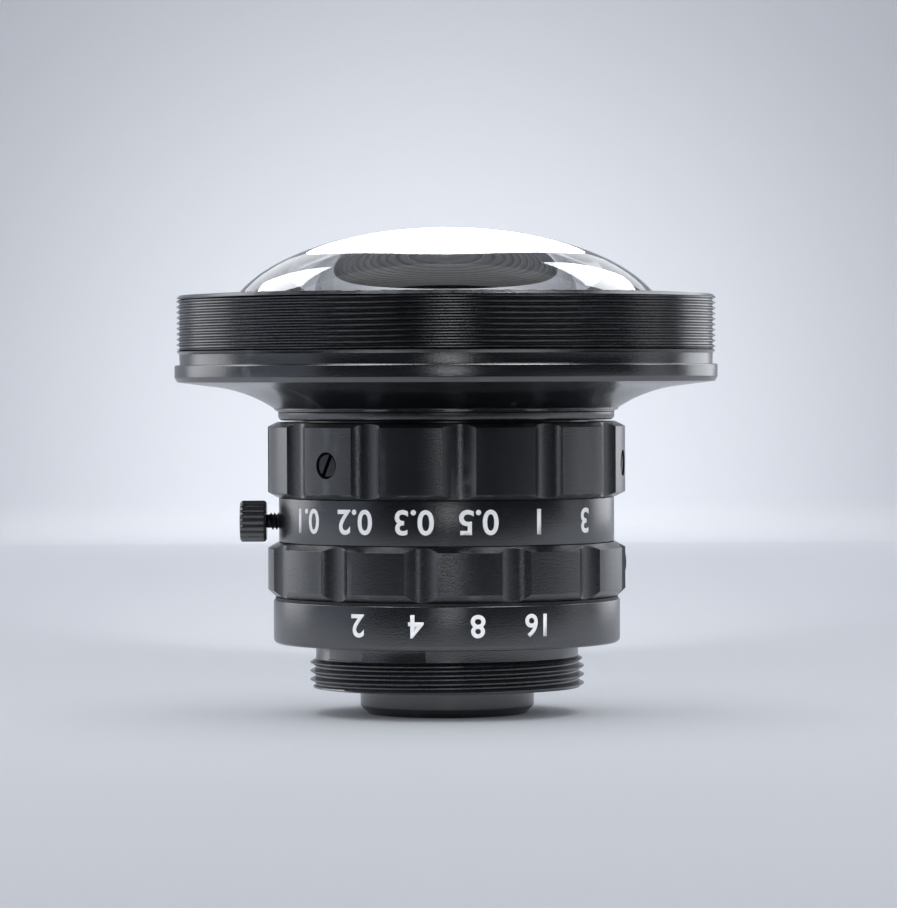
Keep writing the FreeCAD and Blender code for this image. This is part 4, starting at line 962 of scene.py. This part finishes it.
def make_front_bell():
    bottom = bottom_of("front_bell")

    def thread(angle):
        return helix_profile(
            angle, RIM_ROOT, RIM_CREST, RIM_THREAD_BOTTOM, RIM_THREAD_TOP, RIM_PITCH,
            lambda z: RIM_CREST, lambda z: RIM_CREST,
        )

    under = [
        (CELL_NOSE + FIT, bottom),
        (CELL_COLLAR + FIT, bottom),
        (CELL_COLLAR + LIP_EDGE, bottom + NECK_RISE[0]),
        (CELL_COLLAR + LIP_EDGE, bottom + NECK_RISE[1]),
        (LIP[0] - LIP_EDGE, LIP[1] - LIP_DROP[0]),
        (LIP[0], LIP[1] - LIP_DROP[1]),
        LIP,
        *arc_points(LIP, BOWL_OUTER, BOWL_CURVE, -1, BOWL_STEPS),
        BOWL_OUTER,
    ]
    flange = round_corners(
        [
            BOWL_OUTER,
            (FLANGE_RADIUS - FLANGE_CORNER[0], FLANGE_BOTTOM),
            (FLANGE_RADIUS, FLANGE_BOTTOM + FLANGE_CORNER[1]),
            (FLANGE_RADIUS, FLANGE_TOP),
            (BAND_BOTTOM_RADIUS, FLANGE_TOP),
            (BAND_TOP_RADIUS, LEAD_IN_BOTTOM),
        ],
        {1: 0.08, 2: 0.14, 3: 0.16, 4: 0.04}, 4,
    )
    lead_in = [(RIM_CREST, LEAD_IN_TOP), (RIM_ROOT, RIM_THREAD_BOTTOM - RIM_THREAD_GAP)]
    before = under + flange[1:] + lead_in
    after = [
        (RIM_CREST, RIM_TOP - RIM_CHAMFER),
        (RIM_CREST - RIM_CHAMFER, RIM_TOP),
        (RING_BORE + RING_MOUTH, RIM_TOP),
        (RING_BORE, RIM_TOP - RING_MOUTH),
        (RING_BORE, RING_SEAT),
        (SEAL_BORE, RING_SEAT),
        (SEAL_BORE, GLASS_SEAT),
        (BELL_CAVITY, GLASS_SEAT),
        (BELL_CAVITY, BELL_FLOOR_TOP),
        (BELL_FLOOR_HOLE, BELL_FLOOR_TOP),
        (BELL_FLOOR_HOLE, BELL_FLOOR_BOTTOM),
        (CELL_NOSE + FIT, BELL_FLOOR_BOTTOM),
    ]
    piece = threaded("front_bell_turned", before, after, thread, FINE_COLUMNS)
    sharpen(piece, BELL_SHARP_ANGLE)
    return dress(piece, "front_bell", "lens_cell", BLACK_GLOSS)


DOME_RADIUS = 20.54
DOME_RISE = 9.375
DOME_CENTRE = 35.675
DOME_HOLLOW = 15.0
DOME_THICKNESS = 2.45
DOME_STEPS = 90
HOLLOW_STEPS = 60


def make_front_element():
    """Domed glass: an ellipse outside, a sphere inside and a flat seat."""
    apex = DOME_CENTRE + DOME_RISE
    hollow_apex = apex - DOME_THICKNESS
    hollow_centre = hollow_apex - DOME_HOLLOW
    seat_lift = GLASS_SEAT - DOME_CENTRE
    edge_turn = math.acos(seat_lift / DOME_RISE)
    outer = []
    for i in range(DOME_STEPS + 1):
        turn = edge_turn * (1 - i / DOME_STEPS)
        outer.append((DOME_RADIUS * math.sin(turn), DOME_CENTRE + DOME_RISE * math.cos(turn)))
    hollow_turn = math.acos((GLASS_SEAT - hollow_centre) / DOME_HOLLOW)
    inner = []
    for i in range(HOLLOW_STEPS + 1):
        turn = hollow_turn * i / HOLLOW_STEPS
        inner.append((DOME_HOLLOW * math.sin(turn), hollow_centre + DOME_HOLLOW * math.cos(turn)))
    piece = lathe("front_glass_dome", outer + inner, COLUMNS)
    sharpen(piece)
    dress(piece, "front_element", "lens_cell", FRONT_GLASS)
    piece.data.materials.append(EDGE_PAINT)
    seat = GLASS_SEAT * MM
    vertices = piece.data.vertices
    for face in piece.data.polygons:
        if all(abs(vertices[i].co.z - seat) < SAME_HEIGHT for i in face.vertices):
            face.material_index = 1
    return piece


RING_TOP = top_of("front_retaining_ring")
RING_INNER_BOTTOM = 20.36
RING_INNER_TOP = 19.42
RING_INNER_EDGE = 0.3
NOTCH_WIDTH = 1.4
NOTCH_HEIGHT = 1.0


def make_front_retaining_ring():
    profile = round_corners(
        [
            (RING_INNER_BOTTOM, RING_SEAT),
            (RING_BORE - FIT, RING_SEAT),
            (RING_BORE - FIT, RING_TOP),
            (RING_INNER_TOP, RING_TOP),
            (RING_INNER_BOTTOM, RING_SEAT + RING_INNER_EDGE),
        ],
        {2: 0.08, 3: 0.03}, 3,
    )
    ring = lathe("front_retaining_ring_turned", profile)
    size = (RING_BORE * 2, NOTCH_WIDTH, NOTCH_HEIGHT)
    cut_away(ring, box_solid("ring_notch_tool", size, (0, 0, RING_TOP)))
    sharpen(ring)
    return dress(ring, "front_retaining_ring", "lens_cell", BLACK_GLOSS)


STUB_MOUTH = 6.0
STUB_FOOT = 7.3
STUB_CHAMFER = 0.75
STUB_LIP_TOP = 0.9
STUB_BORE = 6.6
REAR_COLLAR = 12.0
REAR_COLLAR_BOTTOM = 7.5
REAR_COLLAR_TOP = 8.0


def make_rear_cell():
    bottom = bottom_of("rear_cell")
    top = top_of("rear_cell")
    profile = round_corners(
        [
            (STUB_MOUTH, bottom),
            (STUB_FOOT, bottom),
            (STUB_RADIUS, bottom + STUB_CHAMFER),
            (STUB_RADIUS, REAR_COLLAR_BOTTOM),
            (REAR_COLLAR, REAR_COLLAR_BOTTOM),
            (REAR_COLLAR, REAR_COLLAR_TOP),
            (REAR_BORE - FIT, REAR_COLLAR_TOP),
            (REAR_BORE - FIT, top),
            (STUB_BORE, top),
            (STUB_BORE, STUB_LIP_TOP),
            (STUB_MOUTH, STUB_LIP_TOP),
        ],
        {0: 0.1, 1: 0.1, 2: 0.1}, 3,
    )
    piece = lathe("rear_cell_turned", profile)
    sharpen(piece)
    return dress(piece, "rear_cell", "lens_cell", BLACK)


# Scales: plain numbers, upside down while the lens stands on its rear

SCALE_LIFT = 0.006
SCALE_DEPTH = 0.03
SLICE = 0.12
ON_CUT = 1e-6
BOLDER = 0.018
CURVE_STEPS = 6


def flat_text(text, height):
    """The text as a flat mesh of this height, centred on the origin, in millimetres."""
    curve = bpy.data.curves.new("scale_text", "FONT")
    curve.body = text
    curve.size = 1.0
    curve.offset = BOLDER
    curve.resolution_u = CURVE_STEPS
    holder = linked_object("scale_text", curve)
    bpy.context.view_layer.update()
    depsgraph = bpy.context.evaluated_depsgraph_get()
    mesh = bpy.data.meshes.new_from_object(holder.evaluated_get(depsgraph))
    bpy.data.objects.remove(holder)
    bpy.data.curves.remove(curve)
    xs = [v.co.x for v in mesh.vertices]
    ys = [v.co.y for v in mesh.vertices]
    scale = height / (max(ys) - min(ys))
    middle = Vector(((max(xs) + min(xs)) / 2, (max(ys) + min(ys)) / 2, 0))
    for vertex in mesh.vertices:
        vertex.co = (vertex.co - middle) * scale
    return mesh


def wrapped_marks(name, marks, radius, height, body):
    """Join (flat mesh, angle) marks into one thin piece, wrapped upside down on a cylinder."""
    work = bmesh.new()
    for mesh, angle in marks:
        part = bmesh.new()
        part.from_mesh(mesh)
        xs = [v.co.x for v in part.verts]
        cut = min(xs) + SLICE
        while cut < max(xs):
            bmesh.ops.bisect_plane(
                part, geom=part.verts[:] + part.edges[:] + part.faces[:], dist=ON_CUT,
                plane_co=(cut, 0, 0), plane_no=(1, 0, 0),
            )
            cut += SLICE
        for vertex in part.verts:
            turn = angle + math.degrees(-vertex.co.x / radius)
            vertex.co = polar(radius + SCALE_LIFT, turn, height - vertex.co.y) * MM
        flat = bpy.data.meshes.new("wrapped")
        part.to_mesh(flat)
        part.free()
        work.from_mesh(flat)
        bpy.data.meshes.remove(flat)
    bmesh.ops.remove_doubles(work, verts=work.verts, dist=SAME_POINT)
    mesh = bpy.data.meshes.new(name)
    work.to_mesh(mesh)
    work.free()
    piece = linked_object(name, mesh)
    thick = piece.modifiers.new("ink", "SOLIDIFY")
    thick.thickness = SCALE_DEPTH * MM
    thick.offset = -1.0
    piece.data.materials.append(WHITE)
    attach(piece, body)
    return piece


IRIS_STOPS = ["2", "4", "8", "16"]
IRIS_RANGE = 60.0
FOCUS_STOPS = ["3", "1", "0.5", "0.3", "0.2", "0.1"]
FOCUS_RANGE = 108.0
IRIS_DIGIT = 2.1
FOCUS_DIGIT = 2.3
IRIS_SCALE_HEIGHT = 8.8
FOCUS_SCALE_HEIGHT = 18.1


def scale_marks(stops, size, turn):
    """The stops as flat text of this size, spread evenly over a turn about the camera's side."""
    start = CAMERA_SIDE - turn / 2
    last = len(stops) - 1
    return [(flat_text(stop, size), start + turn * i / last) for i, stop in enumerate(stops)]


def make_scales():
    iris_marks = scale_marks(IRIS_STOPS, IRIS_DIGIT, IRIS_RANGE)
    wrapped_marks("iris_scale", iris_marks, ENGRAVED_RADIUS, IRIS_SCALE_HEIGHT, "barrel")
    focus_marks = scale_marks(FOCUS_STOPS, FOCUS_DIGIT, -FOCUS_RANGE)
    wrapped_marks("focus_scale", focus_marks, BARREL_RADIUS, FOCUS_SCALE_HEIGHT, "barrel")


# Stage and lights, in metres

FLOOR_END = 0.445
BEND = 0.008
BEND_STEPS = 12
STAGE_HALF = 1.6
WALL_TOP = 1.6


def make_stage():
    """Pale floor that curves up into a backdrop."""
    profile = [(-STAGE_HALF, 0.0)]
    for i in range(BEND_STEPS + 1):
        turn = math.radians(90 * i / BEND_STEPS)
        profile.append((FLOOR_END + BEND * math.sin(turn), BEND * (1 - math.cos(turn))))
    profile.append((FLOOR_END + BEND, WALL_TOP))
    vertices = []
    for y, z in profile:
        vertices += [(-STAGE_HALF / MM, y / MM, z / MM), (STAGE_HALF / MM, y / MM, z / MM)]
    faces = [(2 * i, 2 * i + 1, 2 * i + 3, 2 * i + 2) for i in range(len(profile) - 1)]
    stage = object_from("backdrop", vertices, faces)
    material, tree, shader = new_material("backdrop_paper")
    vector = object_vector(tree)
    colour = ramp(tree, noise(tree, vector, 2.0, 2.0), (0.74, 0.76, 0.80), (0.76, 0.78, 0.82))
    tree.links.new(colour, shader.inputs["Base Color"])
    shader.inputs["Roughness"].default_value = 0.8
    shader.inputs["Specular IOR Level"].default_value = 0.15
    stage.data.materials.append(material)
    return stage


CARD_NEAR = -0.03
CARD_FULL = -0.11
CARD_FAR = -1.3
CARD_HALF = 0.3
CARD_HEIGHT = 0.0004


def card_paper():
    """Black paper without any gloss, which thins out towards the lens."""
    material, tree, shader = new_material("black_card_paper")
    vector = object_vector(tree)
    colour = ramp(tree, noise(tree, vector, 40.0), grey(0.003), grey(0.006))
    tree.links.new(colour, shader.inputs["Base Color"])
    split = tree.nodes.new("ShaderNodeSeparateXYZ")
    tree.links.new(vector, split.inputs["Vector"])
    cover = map_value(tree, split.outputs["Y"], 1.0, 0.0, CARD_FULL, CARD_NEAR)
    tree.links.new(cover, shader.inputs["Alpha"])
    shader.inputs["Roughness"].default_value = 1.0
    shader.inputs["Specular IOR Level"].default_value = 0.0
    return material


def make_black_card():
    """Black paper on the front floor, seen only in the metal, whose front it keeps dark."""
    corners = [(-CARD_HALF, CARD_NEAR), (CARD_HALF, CARD_NEAR), (CARD_HALF, CARD_FAR),
               (-CARD_HALF, CARD_FAR)]
    card = object_from(
        "black_card", [(x / MM, y / MM, CARD_HEIGHT / MM) for x, y in corners], [(0, 1, 2, 3)],
    )
    card.data.materials.append(card_paper())
    card.visible_camera = False
    card.visible_diffuse = False
    card.visible_transmission = False
    card.visible_shadow = False


COOL = (0.94, 0.96, 1.0)
SKY = (0.8, 0.88, 1.1)
PLAIN = (1.0, 1.0, 1.0)
SPOT_RADIUS = 0.05
WORLD_COLOUR = (0.85, 0.9, 1.0)
WORLD_LIGHT = 0.02
WORLD_SEEN = 0.62
OBJECT_MIDDLE = (0, 0, 0.025)
WALL_LAMP = (-0.002, 0.08, 0.03)
WALL_GLOW = (-0.002, FLOOR_END + BEND, 0.015)


def aimed(name, data, place, target):
    light = linked_object(name, data)
    light.location = place
    light.rotation_euler = (Vector(target) - Vector(place)).to_track_quat("-Z", "Y").to_euler()
    return light


def area_light(name, place, target, size, radiance, colour=COOL, shape="RECTANGLE"):
    """A softbox whose face has this brightness, whatever its size."""
    data = bpy.data.lights.new(name, "AREA")
    data.shape = shape
    data.size, data.size_y = size
    data.energy = radiance * math.pi * size[0] * size[1]
    data.color = colour
    return aimed(name, data, place, target)


def object_light(name, place, size, radiance, colour=COOL):
    """A softbox that faces the middle of the lens."""
    return area_light(name, place, OBJECT_MIDDLE, size, radiance, colour)


def upright_light(name, place, size, radiance, shape="RECTANGLE"):
    """A softbox that stands upright and faces the axis."""
    return area_light(name, place, (0, 0, place[2]), size, radiance, shape=shape)


def spot_light(name, place, target, power, width):
    """A lamp of this power in watts, which fades towards the edge of its cone."""
    data = bpy.data.lights.new(name, "SPOT")
    data.energy = power
    data.spot_size = math.radians(width)
    data.spot_blend = 1.0
    data.shadow_soft_size = SPOT_RADIUS
    return aimed(name, data, place, target)


def collection_of(name, pieces):
    collection = bpy.data.collections.new(name)
    for piece in pieces:
        collection.objects.link(piece)
    return collection


def fill_only(light):
    """The light brightens what scatters it, such as paper and ink, and is mirrored nowhere."""
    light.visible_camera = False
    light.visible_glossy = False
    light.visible_transmission = False
    return light


def light_only(light, piece):
    """The light falls on this piece alone, and glass passes it on to what lies behind."""
    light.light_linking.receiver_collection = collection_of(f"{light.name}_lights", [piece])
    light.visible_camera = False


def light_stage_only(light, stage, blockers):
    """The light falls on the stage alone, where only these pieces shade it."""
    light_only(fill_only(light), stage)
    light.light_linking.blocker_collection = collection_of(f"{light.name}_shades", blockers)


def spare(light, pieces):
    """The light falls on everything but these pieces."""
    receivers = collection_of(f"{light.name}_lights", pieces)
    for item in receivers.collection_objects:
        item.light_linking.link_state = "EXCLUDE"
    light.light_linking.receiver_collection = receivers
    light.visible_camera = False


def make_lights(stage, blockers, glass):
    for light in (
        area_light("stage_top", (0, 0, 0.9), (0, 0, 0), (1.4, 1.2), 1.52),
        area_light("stage_left", (-0.8, 0, 0.45), (0, 0, 0), (1.0, 0.5), 0.60),
        area_light("stage_right", (0.8, 0, 0.45), (0, 0, 0), (1.0, 0.5), 0.60),
        spot_light("wall_spot", WALL_LAMP, WALL_GLOW, 3.25, 34.0),
        spot_light("wall_wash", WALL_LAMP, WALL_GLOW, 0.43, 54.0),
        spot_light("floor_spot", (0, 0.05, 0.7), (0, 0.03, 0), 0.74, 30.0),
        spot_light("near_spot", (0, -0.08, 0.7), (0, -0.08, 0), 0.89, 22.0),
        spot_light("foot_spot", (0, -0.01, 0.7), (0, -0.01, 0), 3.62, 7.0),
    ):
        light_stage_only(light, stage, blockers)
    for light in (
        object_light("top_left_box", (-0.38, -0.3, 0.8), (0.34, 0.6), 7.5),
        object_light("top_right_box", (0.34, -0.3, 0.8), (0.46, 0.6), 7.5),
        object_light("left_box", (-0.75, -0.15, 0.2), (0.7, 0.5), 0.32, SKY),
        object_light("right_box", (0.8, 0.1, 0.2), (0.3, 0.5), 0.4),
        object_light("left_rim", (-0.45, 0.33, 0.2), (0.5, 0.6), 1.35),
        object_light("right_rim", (0.28, 0.31, 0.2), (0.29, 0.6), 1.5),
        object_light("left_high", (-0.7, 0.15, 0.42), (0.2, 0.2), 5.0),
        object_light("right_high", (0.7, 0.15, 0.42), (0.2, 0.2), 5.0),
        object_light("front_window", (0.03, -0.95, 0.09), (0.2, 0.22), 1.6),
        fill_only(object_light("front_fill", (0, -0.7, 0.35), (0.5, 0.4), 4.0, PLAIN)),
    ):
        spare(light, [stage, glass])
    for light in (
        upright_light("glass_cap", (0, 0.4, 0.31), (0.186, 0.43), 7.2, "ELLIPSE"),
        upright_light("glass_left", (-0.26, 0.33, 0.35), (0.19, 0.24), 6.0),
        upright_light("glass_right", (0.255, 0.335, 0.36), (0.24, 0.28), 6.0),
        upright_light("glass_left_wedge", (-0.145, 0.402, 0.23), (0.16, 0.19), 1.3),
        upright_light("glass_right_wedge", (0.135, 0.402, 0.23), (0.13, 0.17), 1.3),
        area_light("glass_top", (0, 0.33, 0.9), (0, 0.33, 0), (1.6, 0.8), 0.95),
    ):
        light_only(light, glass)


def make_world():
    """Faint light from all round, and a brighter sky that only the camera sees."""
    world = bpy.data.worlds.new("studio")
    world.use_nodes = True
    background = world.node_tree.nodes["Background"]
    background.inputs["Color"].default_value = (*WORLD_COLOUR, 1)
    path = world.node_tree.nodes.new("ShaderNodeLightPath")
    strength = map_value(
        world.node_tree, path.outputs["Is Camera Ray"], WORLD_LIGHT, WORLD_SEEN, 0.0, 1.0,
    )
    world.node_tree.links.new(strength, background.inputs["Strength"])
    bpy.context.scene.world = world
    bpy.context.scene.view_settings.view_transform = "Standard"


# Camera: the photograph's frame is 897 by 908 pixels

FRAME_HEIGHT_PX = 908
FOCAL_PX = 4707.0
CAMERA_DISTANCE = 437.0
CAMERA_HEIGHT = 31.04
CAMERA_PITCH = 0.921
CAMERA_YAW = 0.026
CAMERA_ROLL = 0.2
SENSOR_MM = 36.0
CLIP_NEAR = 0.01
CLIP_FAR = 20.0


def make_camera():
    data = bpy.data.cameras.new("camera")
    data.sensor_width = SENSOR_MM
    data.lens = FOCAL_PX * SENSOR_MM / FRAME_HEIGHT_PX
    data.clip_start = CLIP_NEAR
    data.clip_end = CLIP_FAR
    camera = linked_object("camera", data)
    camera.location = (0, -CAMERA_DISTANCE * MM, CAMERA_HEIGHT * MM)
    look = Matrix.Rotation(math.radians(-CAMERA_YAW), 4, "Z")
    look = look @ Matrix.Rotation(math.radians(90 - CAMERA_PITCH), 4, "X")
    look = look @ Matrix.Rotation(math.radians(-CAMERA_ROLL), 4, "Z")
    camera.rotation_euler = look.to_euler()
    bpy.context.scene.camera = camera


def dress_kept_nodes():
    """Give each CAD node that stays its own slot's material."""
    slots = {entry["node"]: entry["material_slot"] for entry in frame["record"]["subparts"]}
    for name, item in frame["nodes"].items():
        item.data.materials.clear()
        item.data.materials.append(BY_NODE.get(name) or BY_SLOT[slots[name]])
        smooth(item.data)


dress_kept_nodes()
make_rear_mount()
make_main_barrel()
make_iris_ring()
make_focus_ring()
make_set_screws()
make_drive_screw()
make_lock_screw()
make_cell_barrel()
make_front_bell()
front_glass = make_front_element()
make_front_retaining_ring()
rear_cell = make_rear_cell()
make_scales()
make_black_card()
make_lights(make_stage(), [rear_cell], front_glass)
make_world()
make_camera()
